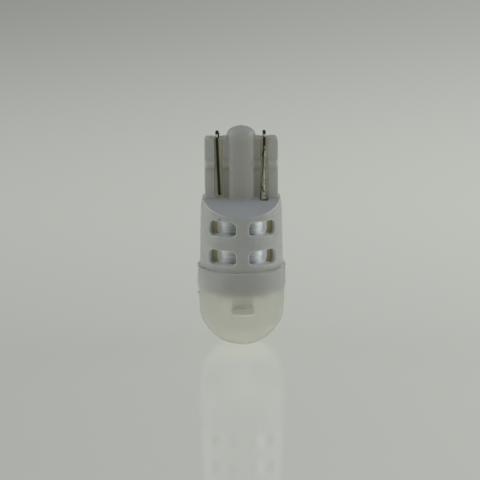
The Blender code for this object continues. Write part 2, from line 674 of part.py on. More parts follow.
def add_driver_parts():
    """Rectifier and regulator on the board's front, resistors and capacitor on its back."""
    rectifier_z = DRIVER_TOP_Z - PACKAGE_SPACING - PIN_REACH - RECTIFIER_SIZE[2] / 2
    add_legged_package("bridge_rectifier", RECTIFIER_SIZE, rectifier_z, (2, 2))
    regulator_z = rectifier_z - (RECTIFIER_SIZE[2] + REGULATOR_SIZE[2]) / 2 - 2 * PIN_REACH - PACKAGE_SPACING
    add_legged_package("driver_chip", REGULATOR_SIZE, regulator_z, (2, 1))
    x = (max(RESISTOR_SIZE[0], CAPACITOR_SIZE[0]) + PACKAGE_SPACING) / 2
    z = DRIVER_TOP_Z - PACKAGE_SPACING - RESISTOR_SIZE[2] / 2
    add_chip_part("load_resistor_1", RESISTOR_SIZE, -x, z, BLACK_PACKAGE)
    add_chip_part("load_resistor_2", RESISTOR_SIZE, x, z, BLACK_PACKAGE)
    z -= RESISTOR_SIZE[2] / 2 + PACKAGE_SPACING + max(RESISTOR_SIZE[2], CAPACITOR_SIZE[2]) / 2
    add_chip_part("sense_resistor", RESISTOR_SIZE, -x, z, BLACK_PACKAGE)
    add_chip_part("capacitor", CAPACITOR_SIZE, x, z, PALE_CERAMIC)


def add_wire(name, points, radius, look, swell=None):
    """Solid round wire through points, with an optional radius factor at each point."""
    curve = bpy.data.curves.new(name, "CURVE")
    curve.dimensions = "3D"
    curve.bevel_depth = radius
    curve.bevel_resolution = 3
    curve.use_fill_caps = True
    spline = curve.splines.new("POLY")
    spline.points.add(len(points) - 1)
    for i, place in enumerate(points):
        spline.points[i].co = (*place, 1.0)
        spline.points[i].radius = swell[i] if swell else 1.0
    curve.materials.append(material(look))
    wire = bpy.data.objects.new(name, curve)
    bpy.context.collection.objects.link(wire)
    return wire


def wire_bend(start_x, end_x):
    """Hairpin over the blade's end, from the channel's axis to the leg in the front groove."""
    radius = -WIRE_LEG_Y / 2
    level = BLADE_END_Z + WIRE_BEND_PAST_BLADE
    points = []
    for i in range(BEND_STEPS + 1):
        angle = math.pi * i / BEND_STEPS
        x = start_x + (end_x - start_x) * i / BEND_STEPS
        points.append((x, -radius + radius * math.cos(angle), level + radius * math.sin(angle)))
    return points


def add_left_wire():
    """Left contact wire: its leg slants inwards down the groove and stops short of the shoulder."""
    hole = -GROOVE_OFFSET
    play = GROOVE_WIDTH / 2 - WIRE_RADIUS
    top = hole - LEFT_WIRE_OUTER_LEAN * play
    points = [(hole, 0.0, DRIVER_TOP_Z - WIRE_LAP), (hole, 0.0, CREST_Z)]
    points += wire_bend(hole, top)
    foot_z = CREST_Z + LEFT_WIRE_SHORT_OF_SHOULDER
    points += [(hole + LEFT_WIRE_INNER_LEAN * play, WIRE_LEG_Y, foot_z)]
    return add_wire("contact_wire_left", points, WIRE_RADIUS, TINNED_WIRE)


def add_right_wire():
    """Right contact wire: a kink below the bend, then a leg thickened by solder down into its pocket."""
    hole = GROOVE_OFFSET
    points = [(hole, 0.0, DRIVER_TOP_Z - WIRE_LAP), (hole, 0.0, CREST_Z)]
    points += wire_bend(hole, hole)
    swell = [1.0] * len(points)
    most = RIGHT_WIRE_SOLDER_RADIUS / WIRE_RADIUS
    kink_z = BLADE_END_Z - RIGHT_WIRE_KINK_FROM_END
    foot_z = CREST_Z - POCKET_DEPTH / 4
    leg_x = hole - RIGHT_WIRE_LEG_SHIFT
    points.append((hole, WIRE_LEG_Y, kink_z + RIGHT_WIRE_KINK_REACH))
    points.append((hole - RIGHT_WIRE_KINK, WIRE_LEG_Y, kink_z))
    points.append((leg_x, WIRE_LEG_Y, kink_z - RIGHT_WIRE_KINK_REACH))
    swell += [1.0] * 3
    low = points[-1][2]
    for i in range(1, SOLDER_STEPS + 1):
        share = i / SOLDER_STEPS
        grown = (most - 1.0) * share**2
        points.append((leg_x, WIRE_LEG_Y - grown * WIRE_RADIUS, low + (foot_z - low) * share))
        swell.append(1.0 + grown)
    return add_wire("contact_wire_right", points, WIRE_RADIUS, TINNED_WIRE, swell)


def add_leads():
    """Two leads from the driver board through the core's floor to solder joints on the LED board."""
    for side, name in ((-1, "led_lead_negative"), (1, "led_lead_positive")):
        x = side * LEAD_OFFSET
        foot = LED_BOARD_FOOT_Z - SEAT_GAP
        levels = [CORE_FLOOR_Z + LEAD_LAP, foot + LEAD_RADIUS, foot, foot - SEAT_GAP, foot - LEAD_TAIL]
        most = LEAD_SOLDER_RADIUS / LEAD_RADIUS
        swell = [1.0, 1.0, 1.0, most, LEAD_TIP_RADIUS / LEAD_RADIUS]
        add_wire(name, [(x, 0.0, z) for z in levels], LEAD_RADIUS, TINNED_WIRE, swell)


def clear_scene():
    """Removes every object that the file opened with."""
    for item in list(bpy.data.objects):
        bpy.data.objects.remove(item, do_unlink=True)


def build_bulb():
    """Builds the bulb from the cap up."""
    clear_scene()
    add_cap()
    add_housing()
    add_core()
    add_led_stack()
    add_driver_board()
    add_driver_parts()
    add_left_wire()
    add_right_wire()
    add_leads()


build_bulb()
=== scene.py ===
import math

import bmesh
import bpy
from mathutils import Matrix, Vector, noise


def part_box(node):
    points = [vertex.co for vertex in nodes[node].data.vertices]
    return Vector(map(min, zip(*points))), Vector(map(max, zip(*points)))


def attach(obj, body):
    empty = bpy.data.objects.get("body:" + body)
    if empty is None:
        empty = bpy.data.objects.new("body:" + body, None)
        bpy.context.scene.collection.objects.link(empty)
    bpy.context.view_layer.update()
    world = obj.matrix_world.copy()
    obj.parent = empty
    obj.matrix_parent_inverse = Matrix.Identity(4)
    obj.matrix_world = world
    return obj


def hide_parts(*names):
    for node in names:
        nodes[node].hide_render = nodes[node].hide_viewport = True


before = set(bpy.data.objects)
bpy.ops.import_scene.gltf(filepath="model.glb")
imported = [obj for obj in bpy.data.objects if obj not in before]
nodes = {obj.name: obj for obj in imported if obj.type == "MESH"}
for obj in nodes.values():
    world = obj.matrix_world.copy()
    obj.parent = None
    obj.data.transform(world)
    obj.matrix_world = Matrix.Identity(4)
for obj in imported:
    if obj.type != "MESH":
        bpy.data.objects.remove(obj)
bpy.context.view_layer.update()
mm = 0.001  # every length below is in millimetres unless a note says otherwise
black = (0.0, 0.0, 0.0)
print("frame loaded,", len(nodes), "nodes")


def corners(node):
    low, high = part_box(node)
    return low / mm, high / mm


# Shader maths: wraps a socket, so that sums on values add their Math nodes
class Shade:
    def __init__(self, tree, socket=None):
        self.tree = tree
        self.socket = socket

    def node(self, kind, settings=None, sockets=None, out=0):
        made = self.tree.nodes.new(kind)
        for name, value in (settings or {}).items():
            setattr(made, name, value)
        for name, value in (sockets or {}).items():
            plug(self.tree, made.inputs[name], value)
        return Shade(self.tree, made.outputs[out])

    def maths(self, operation, *values):
        return self.node("ShaderNodeMath", {"operation": operation}, dict(enumerate(values)))

    def __add__(self, other):
        return self.maths("ADD", self, other)

    def __radd__(self, other):
        return self.maths("ADD", other, self)

    def __sub__(self, other):
        return self.maths("SUBTRACT", self, other)

    def __rsub__(self, other):
        return self.maths("SUBTRACT", other, self)

    def __mul__(self, other):
        return self.maths("MULTIPLY", self, other)

    def __rmul__(self, other):
        return self.maths("MULTIPLY", other, self)

    def __pow__(self, other):
        return self.maths("POWER", self, other)

    def __abs__(self):
        return self.maths("ABSOLUTE", self)


def plug(tree, socket, value):
    if isinstance(value, Shade):
        tree.links.new(value.socket, socket)
    elif socket.type == "RGBA":
        socket.default_value = (*value, 1.0)
    else:
        socket.default_value = value


def rise(value, low, high):  # smooth step from 0 to 1, or down if low is above high
    sockets = {"Value": value, "From Min": low, "From Max": high}
    return value.node("ShaderNodeMapRange", {"interpolation_type": "SMOOTHSTEP"}, sockets)


def band(value, low, high, soft):
    return rise(value, low - soft, low + soft) * rise(value, high + soft, high - soft)


def mixed(factor, first, second):
    return factor.node("ShaderNodeMix", {"data_type": "RGBA"}, {0: factor, 6: first, 7: second}, 2)


def grain(place, scale, detail=2.0, distortion=0.0):
    sockets = {"Vector": place, "Scale": scale, "Detail": detail, "Distortion": distortion}
    return place.node("ShaderNodeTexNoise", None, sockets)


def stretched(place, factors):
    return place.node("ShaderNodeVectorMath", {"operation": "MULTIPLY"}, {0: place, 1: factors})


def bumped(height, depth, strength=1.0, under=None):  # depth in millimetres
    sockets = {"Height": height, "Distance": depth * mm, "Strength": strength}
    if under:
        sockets["Normal"] = under
    return height.node("ShaderNodeBump", None, sockets)


def spot(place, centre, size, soft):
    reach = place.node("ShaderNodeVectorMath", {"operation": "DISTANCE"}, {0: place, 1: centre}, "Value")
    return rise(reach, size + soft, size - soft)


# Every material starts here: paint gives its nodes, place is the point in millimetres
def startMaterial(name):
    material = bpy.data.materials.new(name)
    material.use_nodes = True
    paint = Shade(material.node_tree)
    point = paint.node("ShaderNodeTexCoord", None, None, "Object")
    place = paint.node("ShaderNodeVectorMath", {"operation": "SCALE"}, {0: point, "Scale": 1 / mm})
    return material, place


def axesOf(place):
    return [place.node("ShaderNodeSeparateXYZ", None, {0: place}, name) for name in "XYZ"]


def past(base, reach):  # a rise's two ends, given from its base
    return [base + part for part in reach]


def finishMaterial(material, sockets):
    shader = material.node_tree.nodes["Principled BSDF"]
    for name, value in sockets.items():
        plug(material.node_tree, shader.inputs[name], value)
    return material


# Driving sizes that the frame's boxes don't show
plan = {
    "gap": 0.02,  # between pieces that seat on each other
    "fit": 0.05,  # between pieces that slide into each other
    "sleeveHeight": 6.9,
    "sleeveTaper": 0.14,
    "shoulderHeight": 2.04,
    "bladeHeight": 8.0,
    "windowHeight": 1.98,
    "windowBelowRoof": 0.3,
    "capWall": 0.5,
    "skirtHeight": 2.68,
    "skirtStep": 0.175,
    "flareHeight": 1.0,
    "ledgeDepth": 0.4,
    "flatRadius": 1.45,
}

# Levels and radii, worked out from the frame's boxes and those sizes
capHigh = corners("dome_cap")[1]
housingHigh = corners("housing")[1]
coreLow, coreHigh = corners("heat_core")
level = {"skirtTop": capHigh.z, "coreFoot": coreLow.z, "coreTop": coreHigh.z}
level["sleeveFoot"] = level["skirtTop"] + plan["gap"]
level["sleeveTop"] = level["sleeveFoot"] + plan["sleeveHeight"]
level["crest"] = level["sleeveTop"] + plan["shoulderHeight"]
level["bladeEnd"] = level["crest"] + plan["bladeHeight"]
level["boreRoof"] = level["coreTop"] + plan["gap"]
level["upperWindow"] = level["boreRoof"] - plan["windowBelowRoof"] - plan["windowHeight"] / 2
level["flareTop"] = level["skirtTop"] - plan["skirtHeight"]
level["flareFoot"] = level["flareTop"] - plan["flareHeight"]
level["ledge"] = level["flareTop"] - plan["ledgeDepth"]
level["spigotRim"] = level["ledge"] + plan["gap"]
radius = {"skirt": capHigh.x, "core": coreHigh.x, "sleeveFoot": housingHigh.x}
radius["skirtBore"] = radius["skirt"] - plan["capWall"]
radius["spigot"] = radius["skirtBore"] - plan["fit"]
radius["sleeveTop"] = radius["sleeveFoot"] - plan["sleeveTaper"]
radius["bore"] = radius["core"] + plan["fit"]
radius["cap"] = radius["skirt"] - plan["skirtStep"]
radius["capBore"] = radius["cap"] - plan["capWall"]
level["capCentre"] = math.sqrt(radius["cap"] ** 2 - plan["flatRadius"] ** 2)
grooveOffset = 2.97
grooveFloor = 0.75
margin = 1.0  # how far a cutting form reaches past what it cuts
slot = {"width": 3.24, "height": 1.13, "drop": 0.41, "corner": 0.38, "lip": 0.04}
slot["middle"] = level["capCentre"] + slot["height"] / 2 - slot["drop"]


def arc(centre, size, start, end, steps):
    turns = [math.radians(start + (end - start) * i / steps) for i in range(steps + 1)]
    return [(centre[0] + size * math.cos(turn), centre[1] + size * math.sin(turn)) for turn in turns]


def circle(centre, size, steps):
    return arc(centre, size, 0, 360, steps)[:-1]


def roundedRectangle(width, height, corner, steps=8):
    x = width / 2 - corner
    z = height / 2 - corner
    outline = []
    for signX, signZ, start in ((1, 1, 0), (-1, 1, 90), (-1, -1, 180), (1, -1, 270)):
        outline += arc((signX * x, signZ * z), corner, start, start + 90, steps)
    return outline


def newObject(name, bm):
    bmesh.ops.remove_doubles(bm, verts=bm.verts, dist=0.0001)
    bmesh.ops.recalc_face_normals(bm, faces=bm.faces)
    mesh = bpy.data.meshes.new(name)
    bm.to_mesh(mesh)
    bm.free()
    made = bpy.data.objects.new(name, mesh)
    bpy.context.scene.collection.objects.link(made)
    return made


def turned(name, profile, steps=192):
    bm = bmesh.new()
    verts = [bm.verts.new((r, 0.0, z)) for r, z in profile]
    edges = [bm.edges.new(pair) for pair in zip(verts, verts[1:])]
    swept = {"cent": (0, 0, 0), "axis": (0, 0, 1), "angle": math.tau, "steps": steps, "use_merge": True}
    bmesh.ops.spin(bm, geom=verts + edges, **swept)
    return newObject(name, bm)


def loft(name, rings):
    bm = bmesh.new()
    loops = [[bm.verts.new(point) for point in ring] for ring in rings]
    count = len(rings[0])
    for lower, upper in zip(loops, loops[1:]):
        for i in range(count):
            j = (i + 1) % count
            bm.faces.new((lower[i], lower[j], upper[j], upper[i]))
    bm.faces.new(loops[0])
    bm.faces.new(loops[-1])
    return newObject(name, bm)


def prism(name, outline, start, end, along="Y"):
    place = {
        "X": lambda a, b, t: (t, a, b),
        "Y": lambda a, b, t: (a, t, b),
        "Z": lambda a, b, t: (a, b, t),
    }[along]
    return loft(name, [[place(a, b, t) for a, b in outline] for t in (start, end)])


def evaluated(target):  # applies what is on its modifier stack
    graph = bpy.context.evaluated_depsgraph_get()
    mesh = bpy.data.meshes.new_from_object(target.evaluated_get(graph))
    old = target.data
    target.modifiers.clear()
    target.data = mesh
    bpy.data.meshes.remove(old)
    return target


def combine(target, operation, tool):
    modifier = target.modifiers.new("combine", "BOOLEAN")
    modifier.operation = operation
    modifier.solver = "EXACT"
    modifier.object = tool
    evaluated(target)
    bpy.data.objects.remove(tool)
    return target


def smoothed(made, sharpTurn):  # smooth shading, but for edges sharper than that
    made.data.shade_smooth()
    made.data.set_sharp_from_angle(angle=math.radians(sharpTurn))
    return made


def finishPiece(piece, material, slotName, *stoodFor):
    piece.data.transform(Matrix.Scale(mm, 4))
    piece.data.materials.clear()
    piece.data.materials.append(material)
    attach(piece, "root")
    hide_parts(*stoodFor)
    print("made", piece.name, "with", len(piece.data.polygons), "faces")
    return piece


# Camera: at the photograph's height angle, a little to the left of the bulb's own front
view = {"azimuth": -1.6, "elevation": 14.8, "distance": 350.0, "lens": 200.6, "roll": -0.25}
view["aim"] = (-0.19, 0.0, 13.8)
view["sensor"] = 36.0
view["clip"] = (0.01, 20.0)  # in metres


def addCamera():
    turn = math.radians(view["azimuth"])
    lift = math.radians(view["elevation"])
    back = Vector((math.sin(turn) * math.cos(lift), -math.cos(turn) * math.cos(lift), math.sin(lift)))
    data = bpy.data.cameras.new("camera")
    data.lens = view["lens"]
    data.sensor_width = view["sensor"]
    data.clip_start, data.clip_end = view["clip"]
    camera = bpy.data.objects.new("camera", data)
    bpy.context.scene.collection.objects.link(camera)
    camera.rotation_mode = "QUATERNION"
    camera.location = (Vector(view["aim"]) + back * view["distance"]) * mm
    tilt = Matrix.Rotation(math.radians(view["roll"]), 4, back)
    facing = (-back).to_track_quat("-Z", "Y").to_matrix().to_4x4()
    camera.rotation_quaternion = (tilt @ facing).to_quaternion()
    bpy.context.scene.camera = camera


addCamera()
print("camera set")

# Housing: one white moulding, whose rounded edges come from a fine remesh of the solid form
housingForm = {
    "rounding": 0.12,
    "slope": 20.0,
    "shoulderSwell": 7.05,
    "bladeWidth": 9.5,
    "bladeThickness": 2.1,
    "bladeCorner": 0.5,
    "ridgeHeight": 1.6,
    "ridgeRise": 0.3,
    "ridgeFromEnd": 2.75,
    "ridgeInset": 0.16,
    "rootRise": 0.5,
    "grooveWidth": 1.04,
    "grooveFoot": 0.15,
    "pocketDepth": 0.8,
    "pocketFront": 1.5,
    "pocketCorner": 0.15,
    "pocketRise": 0.3,
    "pillarHalfWidth": 1.87,
    "pillarHalfDepth": 1.56,
    "pillarStraight": 0.25,
    "pillarDome": 1.2,
    "pillarDomeSwing": 78.0,
    "pillarSquareness": 0.9,
    "pillarSides": 64,
    "pillarRings": 12,
    "pipRadius": 0.2,
    "pipReach": 0.1,
    "tongueWall": 0.7,
    "tongueInset": 0.1,
    "catchGap": 0.05,
    "windowStart": 9.0,
    "windowSweep": 45.0,
    "windowHeight": plan["windowHeight"],
    "windowBar": 1.84,
    "windowCorner": 0.75,
    "windowInner": 2.0,
    "voxel": 0.06,
    "quickVoxel": 0.12,
    "smoothing": 6,
    "mostTriangles": 185000,
}


def sleeveBody():
    form = housingForm
    rounding = form["rounding"]
    profile = [(0.0, level["boreRoof"]), (radius["bore"], level["boreRoof"])]
    profile += [(radius["bore"], level["spigotRim"]), (radius["spigot"], level["spigotRim"])]
    profile.append((radius["spigot"], level["sleeveFoot"]))
    foot = (radius["sleeveFoot"] - rounding, level["sleeveFoot"] + rounding)
    profile += arc(foot, rounding, -90, 0, 3)
    for across, up in arc((0.0, 0.0), 1.0, 0, 90, 60):  # the shoulder's quarter oval
        profile.append((radius["sleeveTop"] * across, level["sleeveTop"] + form["shoulderSwell"] * up))
    return turned("housing_moulding", profile)


def gable():
    form = housingForm
    reach = radius["sleeveFoot"] + margin
    rate = math.tan(math.radians(form["slope"]))
    apex = level["crest"] + form["bladeThickness"] / 2 * rate
    eaves = apex - reach * rate
    foot = level["spigotRim"] - margin
    outline = [(-reach, foot), (reach, foot), (reach, eaves), (0.0, apex), (-reach, eaves)]
    return prism("gable", outline, -reach, reach, "X")


def blade():
    form = housingForm
    x = form["bladeWidth"] / 2
    y = form["bladeThickness"] / 2
    corner = form["bladeCorner"]
    root = level["boreRoof"] + form["rootRise"]
    outline = [(-x, root), (x, root)]
    outline += arc((x - corner, level["bladeEnd"] - corner), corner, 0, 90, 8)
    outline += arc((-x + corner, level["bladeEnd"] - corner), corner, 90, 180, 8)
    return prism("blade", outline, -y, y)


def ridge():
    form = housingForm
    y = form["bladeThickness"] / 2
    half = form["ridgeHeight"] / 2
    middle = level["bladeEnd"] - form["ridgeFromEnd"] - half
    size = (form["ridgeRise"] ** 2 + half**2) / (2 * form["ridgeRise"])
    swing = math.degrees(math.asin(half / size))
    outline = arc((y + form["ridgeRise"] - size, middle), size, -swing, swing, 12)
    outline += [(-a, 2 * middle - b) for a, b in outline]
    x = form["bladeWidth"] / 2 - form["ridgeInset"]
    return prism("ridge", outline, -x, x, "X")


def pillar():
    form = housingForm
    domeFoot = level["bladeEnd"] + form["pillarStraight"]
    levels = [(level["boreRoof"] + form["rootRise"], 1.0)]
    for i in range(form["pillarRings"] + 1):
        turn = math.radians(form["pillarDomeSwing"] * i / form["pillarRings"])
        levels.append((domeFoot + form["pillarDome"] * math.sin(turn), math.cos(turn)))
    power = form["pillarSquareness"]
    rings = []
    for height, share in levels:
        x = share * form["pillarHalfWidth"]
        y = share * form["pillarHalfDepth"]
        ring = []
        for i in range(form["pillarSides"]):
            turn = math.tau * (i + 0.5) / form["pillarSides"]
            across = math.copysign(abs(math.cos(turn)) ** power, math.cos(turn))
            deep = math.copysign(abs(math.sin(turn)) ** power, math.sin(turn))
            ring.append((x * across, y * deep, height))
        rings.append(ring)
    made = loft("pillar", rings)
    top = levels[-1][0]
    reach = form["pipReach"]
    outline = circle((0.0, 0.0), form["pipRadius"], 16)
    return combine(made, "UNION", prism("pip", outline, top - reach, top + reach, "Z"))


def tongue(side):
    form = housingForm
    wall = form["tongueWall"]
    outer = radius["capBore"] - plan["fit"]
    inner = outer - wall
    hook = radius["cap"] - plan["fit"]
    foot = slot["middle"] - slot["height"] / 2 + form["tongueInset"]
    root = level["spigotRim"] + wall / 2
    top = slot["middle"] + slot["height"] / 2 - form["catchGap"]
    corner = slot["corner"] - form["tongueInset"]
    straight = slot["width"] / 2 - form["tongueInset"] - corner
    right = [(straight + across, up + corner) for across, up in arc((0.0, 0.0), corner, -90, 0, 8)]
    edge = [(-across, up) for across, up in reversed(right)] + [(0.0, 0.0)] + right
    rings = []
    for across, lift in edge:
        turn = math.asin(across / hook)
        low = foot + lift
        profile = [(inner, root), (inner, low), (hook - wall / 4, low), (hook, low + wall / 4)]
        profile += [(hook, top), (outer, top), (outer, root)]
        rings.append([(side * r * math.sin(turn), -side * r * math.cos(turn), z) for r, z in profile])
    return loft("tongue", rings)


def grooves():
    form = housingForm
    low = level["crest"] + form["grooveFoot"]
    high = level["bladeEnd"] + margin
    bm = bmesh.new()
    size = Matrix.Diagonal((form["grooveWidth"], margin, high - low, 1.0))
    for sideX in (-1, 1):
        for sideY in (-1, 1):
            centre = Vector((sideX * grooveOffset, sideY * (grooveFloor + margin / 2), (low + high) / 2))
            bmesh.ops.create_cube(bm, size=1.0, matrix=Matrix.Translation(centre) @ size)
    return newObject("grooves", bm)


def pocket():
    form = housingForm
    width = form["grooveWidth"] - plan["gap"]
    outline = roundedRectangle(width, form["pocketFront"] - grooveFloor, form["pocketCorner"], 4)
    middle = -(form["pocketFront"] + grooveFloor) / 2
    outline = [(grooveOffset + x, middle + y) for x, y in outline]
    low = level["crest"] - form["pocketDepth"]
    return prism("pocket", outline, low, level["crest"] + form["pocketRise"], "Z")


def channel(side):
    outline = circle((side * grooveOffset, 0.0), wireForm["channel"], 24)
    return prism("channel", outline, level["boreRoof"] - margin, level["bladeEnd"] + margin, "Z")


def window(start, middle):
    form = housingForm
    width = math.radians(form["windowSweep"]) * radius["sleeveTop"]
    outline = roundedRectangle(width, form["windowHeight"], form["windowCorner"], 8)
    rings = []
    for reach in (form["windowInner"], radius["sleeveFoot"] + 2 * margin):
        turns = [(start + length / radius["sleeveTop"], height) for length, height in outline]
        rings.append([(reach * math.sin(a), -reach * math.cos(a), middle + height) for a, height in turns])
    return loft("window", rings)


def addHousing(material):
    form = housingForm
    body = sleeveBody()
    combine(body, "INTERSECT", gable())
    for part in (blade(), ridge(), pillar(), tongue(1), tongue(-1)):
        combine(body, "UNION", part)
    for part in (grooves(), pocket(), channel(-1), channel(1)):
        combine(body, "DIFFERENCE", part)
    upper = level["upperWindow"]
    start = math.radians(form["windowStart"] + form["windowSweep"] / 2)
    for turn in (0.0, math.pi):
        for sign in (-1, 1):
            for middle in (upper, upper - form["windowHeight"] - form["windowBar"]):
                combine(body, "DIFFERENCE", window(turn + sign * start, middle))
    remesh = body.modifiers.new("remesh", "REMESH")
    remesh.mode = "VOXEL"
    remesh.voxel_size = form["voxel"]
    smooth = body.modifiers.new("smooth", "SMOOTH")
    smooth.factor = 0.5
    smooth.iterations = form["smoothing"]
    evaluated(body)
    triangles = 2 * len(body.data.polygons)
    if triangles > form["mostTriangles"]:
        thin = body.modifiers.new("thin", "DECIMATE")
        thin.ratio = form["mostTriangles"] / triangles
        evaluated(body)
    body.data.shade_smooth()
    return finishPiece(body, material, "white_plastic", "housing")


# Cap: frosted dome and skirt, turned, with a snap slot front and back and its gate stub
capForm = {
    "rounding": 0.15,
    "gateRadius": 0.19,
    "gateRise": 0.17,
    "gateRoot": 0.25,
    "cutFront": 1.2,
    "cutBack": -0.3,
    "sharpTurn": 35.0,
}


def slotCutter(side):  # through the cap's wall, growing into a rounded lip at the front
    lip = slot["lip"]
    steps = [(capForm["cutFront"], 0.0)]
    for across, up in arc((0.0, 0.0), lip, 0, 90, 5):
        steps.append((lip - up, lip - across))
    steps.append((capForm["cutBack"], lip))
    rings = []
    for depth, grown in steps:
        width = slot["width"] + 2 * grown
        height = slot["height"] + 2 * grown
        ring = []
        for x, z in roundedRectangle(width, height, slot["corner"] + grown, 6):
            front = math.sqrt(radius["cap"] ** 2 - x**2) - depth
            ring.append((x, -side * front, slot["middle"] + z))
        rings.append(ring)
    return loft("slot_cutter", rings)


def addCap(material):
    form = capForm
    flatTurn = math.degrees(math.asin(plan["flatRadius"] / radius["cap"]))
    rim = (radius["skirt"] - form["rounding"], level["skirtTop"] - form["rounding"])
    profile = [(0.0, 0.0)]
    profile += arc((0.0, level["capCentre"]), radius["cap"], flatTurn - 90, 0, 56)
    profile += [(radius["cap"], level["flareFoot"]), (radius["skirt"], level["flareTop"])]
    profile += arc(rim, form["rounding"], 0, 90, 8)
    profile += [(radius["skirtBore"], level["skirtTop"]), (radius["skirtBore"], level["ledge"])]
    profile += [(radius["capBore"], level["ledge"])]
    profile += arc((0.0, level["capCentre"]), radius["capBore"], 0, -90, 48)
    cap = turned("cap_moulding", profile, 256)
    combine(cap, "DIFFERENCE", slotCutter(1))
    combine(cap, "DIFFERENCE", slotCutter(-1))
    gateZ = level["flareFoot"] - form["gateRadius"]
    outline = circle((0.0, gateZ), form["gateRadius"], 20)
    side = -radius["cap"]
    combine(cap, "UNION", prism("gate", outline, side - form["gateRise"], side + form["gateRoot"], "X"))
    smoothed(cap, form["sharpTurn"])
    return finishPiece(cap, material, "frosted_plastic", "dome_cap")


# Core: turned aluminium cup behind the windows
coreForm = {
    "wall": 0.5,
    "floor": 1.2,
    "chamfer": 0.12,
    "leadOffset": 1.9,
    "leadHole": 0.3,
    "sharpTurn": 30.0,
}


def addCore(material):
    form = coreForm
    size = radius["core"]
    inner = size - form["wall"]
    low = level["coreFoot"]
    high = level["coreTop"]
    chamfer = form["chamfer"]
    floor = low + form["floor"]
    profile = [(0.0, low), (size - chamfer, low), (size, low + chamfer), (size, high - chamfer)]
    profile += [(size - chamfer, high), (inner, high), (inner, floor), (0.0, floor)]
    core = turned("core_turning", profile, 192)
    for side in (-1, 1):
        outline = circle((side * form["leadOffset"], 0.0), form["leadHole"], 24)
        combine(core, "DIFFERENCE", prism("lead_hole", outline, low - margin, floor + margin, "Z"))
    smoothed(core, form["sharpTurn"])
    return finishPiece(core, material, "turned_aluminium", "heat_core")


# Wires: swept rings along a route, dented and swollen by solder where the photograph shows it
wireForm = {
    "radius": 0.17,
    "bendRadius": 0.21,
    "channel": 0.25,
    "holeStraight": 1.0,
    "bendPast": 0.28,
    "shift": 0.05,
    "lean": 0.19,
    "innerLean": 0.11,
    "tipShift": 0.03,
    "foot": 0.45,
    "kink": 0.07,
    "kinkOut": 0.04,
    "kinkSwell": 1.3,
    "kinkFromEnd": 2.1,
    "kinkReach": 0.63,
    "belowKinkSwell": 1.1,
    "legShift": 0.15,
    "footDrop": 0.2,
    "solder": 0.34,
    "solderFromEnd": 1.15,
    "glintRise": 0.4,
    "leftDents": 0.02,
    "rightDents": 0.16,
    "dentScale": 3.1,
    "dentSpread": 0.3,
    "rippleScale": 9.0,
    "endRings": 4,
    "endNarrowing": 0.75,
    "sides": 20,
    "spacing": 0.05,
    "sharpTurn": 50.0,
}


def eased(before, start, end, after, t):  # Catmull-Rom from start to end
    bend = 2 * before - 5 * start + 4 * end - after
    swing = 3 * start - before - 3 * end + after
    return 0.5 * (2 * start + (end - before) * t + bend * t**2 + swing * t**3)


def smoothRoute(points, spacing):  # through points of x, y, z and size
    route = []
    last = len(points) - 1
    for i in range(last):
        around = (points[max(i - 1, 0)], points[i], points[i + 1], points[min(i + 2, last)])
        length = (Vector(points[i + 1][:3]) - Vector(points[i][:3])).length
        count = max(2, round(length / spacing))
        for j in range(count):
            route.append([eased(*values, j / count) for values in zip(*around)])
    route.append(list(points[-1]))
    return route


def tube(name, points, dents):
    form = wireForm
    route = smoothRoute(points, form["spacing"])
    places = [Vector(point[:3]) for point in route]
    last = len(places) - 1
    side = Vector((1.0, 0.0, 0.0))
    rings = []
    for i, place in enumerate(places):
        ahead = places[min(i + 1, last)] - places[max(i - 1, 0)]
        ahead.normalize()
        side = (side - ahead * side.dot(ahead)).normalized()
        other = ahead.cross(side)
        fromEnd = min(i, last - i) / form["endRings"]
        narrowed = math.sqrt(1 - (1 - min(fromEnd, 1.0)) ** 2 * form["endNarrowing"])
        ripple = noise.noise(place * form["rippleScale"])
        ring = []
        for j in range(form["sides"]):
            turn = math.tau * j / form["sides"]
            out = side * math.cos(turn) + other * math.sin(turn)
            dent = noise.noise((place + out * form["dentSpread"]) * form["dentScale"])
            size = route[i][3] * narrowed * (1 + dents * dent + dents * 0.5 * ripple)
            ring.append(place + out * size)
        rings.append(ring)
    return smoothed(loft(name, rings), form["sharpTurn"])


def hairpin(node, holeX, startX, endX):  # up through its hole and over the blade's end
    form = wireForm
    low = corners(node)[0]
    size = form["radius"]
    legY = -(grooveFloor + plan["gap"] + size)
    half = -legY / 2
    height = level["bladeEnd"] + form["bendPast"]
    points = [(holeX, 0.0, low.z, size), (holeX, 0.0, level["bladeEnd"] - form["holeStraight"], size)]
    for i in range(7):
        turn = math.pi * i / 6
        x = startX + (endX - startX) * math.sin(turn / 2)
        swollen = size + (form["bendRadius"] - size) * math.sin(turn)
        points.append((x, -half + half * math.cos(turn), height + half * math.sin(turn), swollen))
    return points, legY


def addLeftWire(material):
    form = wireForm
    node = "contact_wire_left"
    end = level["bladeEnd"]
    hole = -grooveOffset
    size = form["radius"]
    points, legY = hairpin(node, hole, hole - form["shift"], hole - form["lean"])
    topX = points[-1][0]
    footX = hole + form["innerLean"]
    footZ = level["crest"] + form["foot"]
    for share in (0.35, 0.7, 0.94):
        x = topX + (footX - topX) * share
        points.append((x, legY, end + (footZ - end) * share, size))
    points.append((footX + form["tipShift"], legY, footZ, size))
    return finishPiece(tube("wire_left", points, form["leftDents"]), material, "tinned_wire", node)


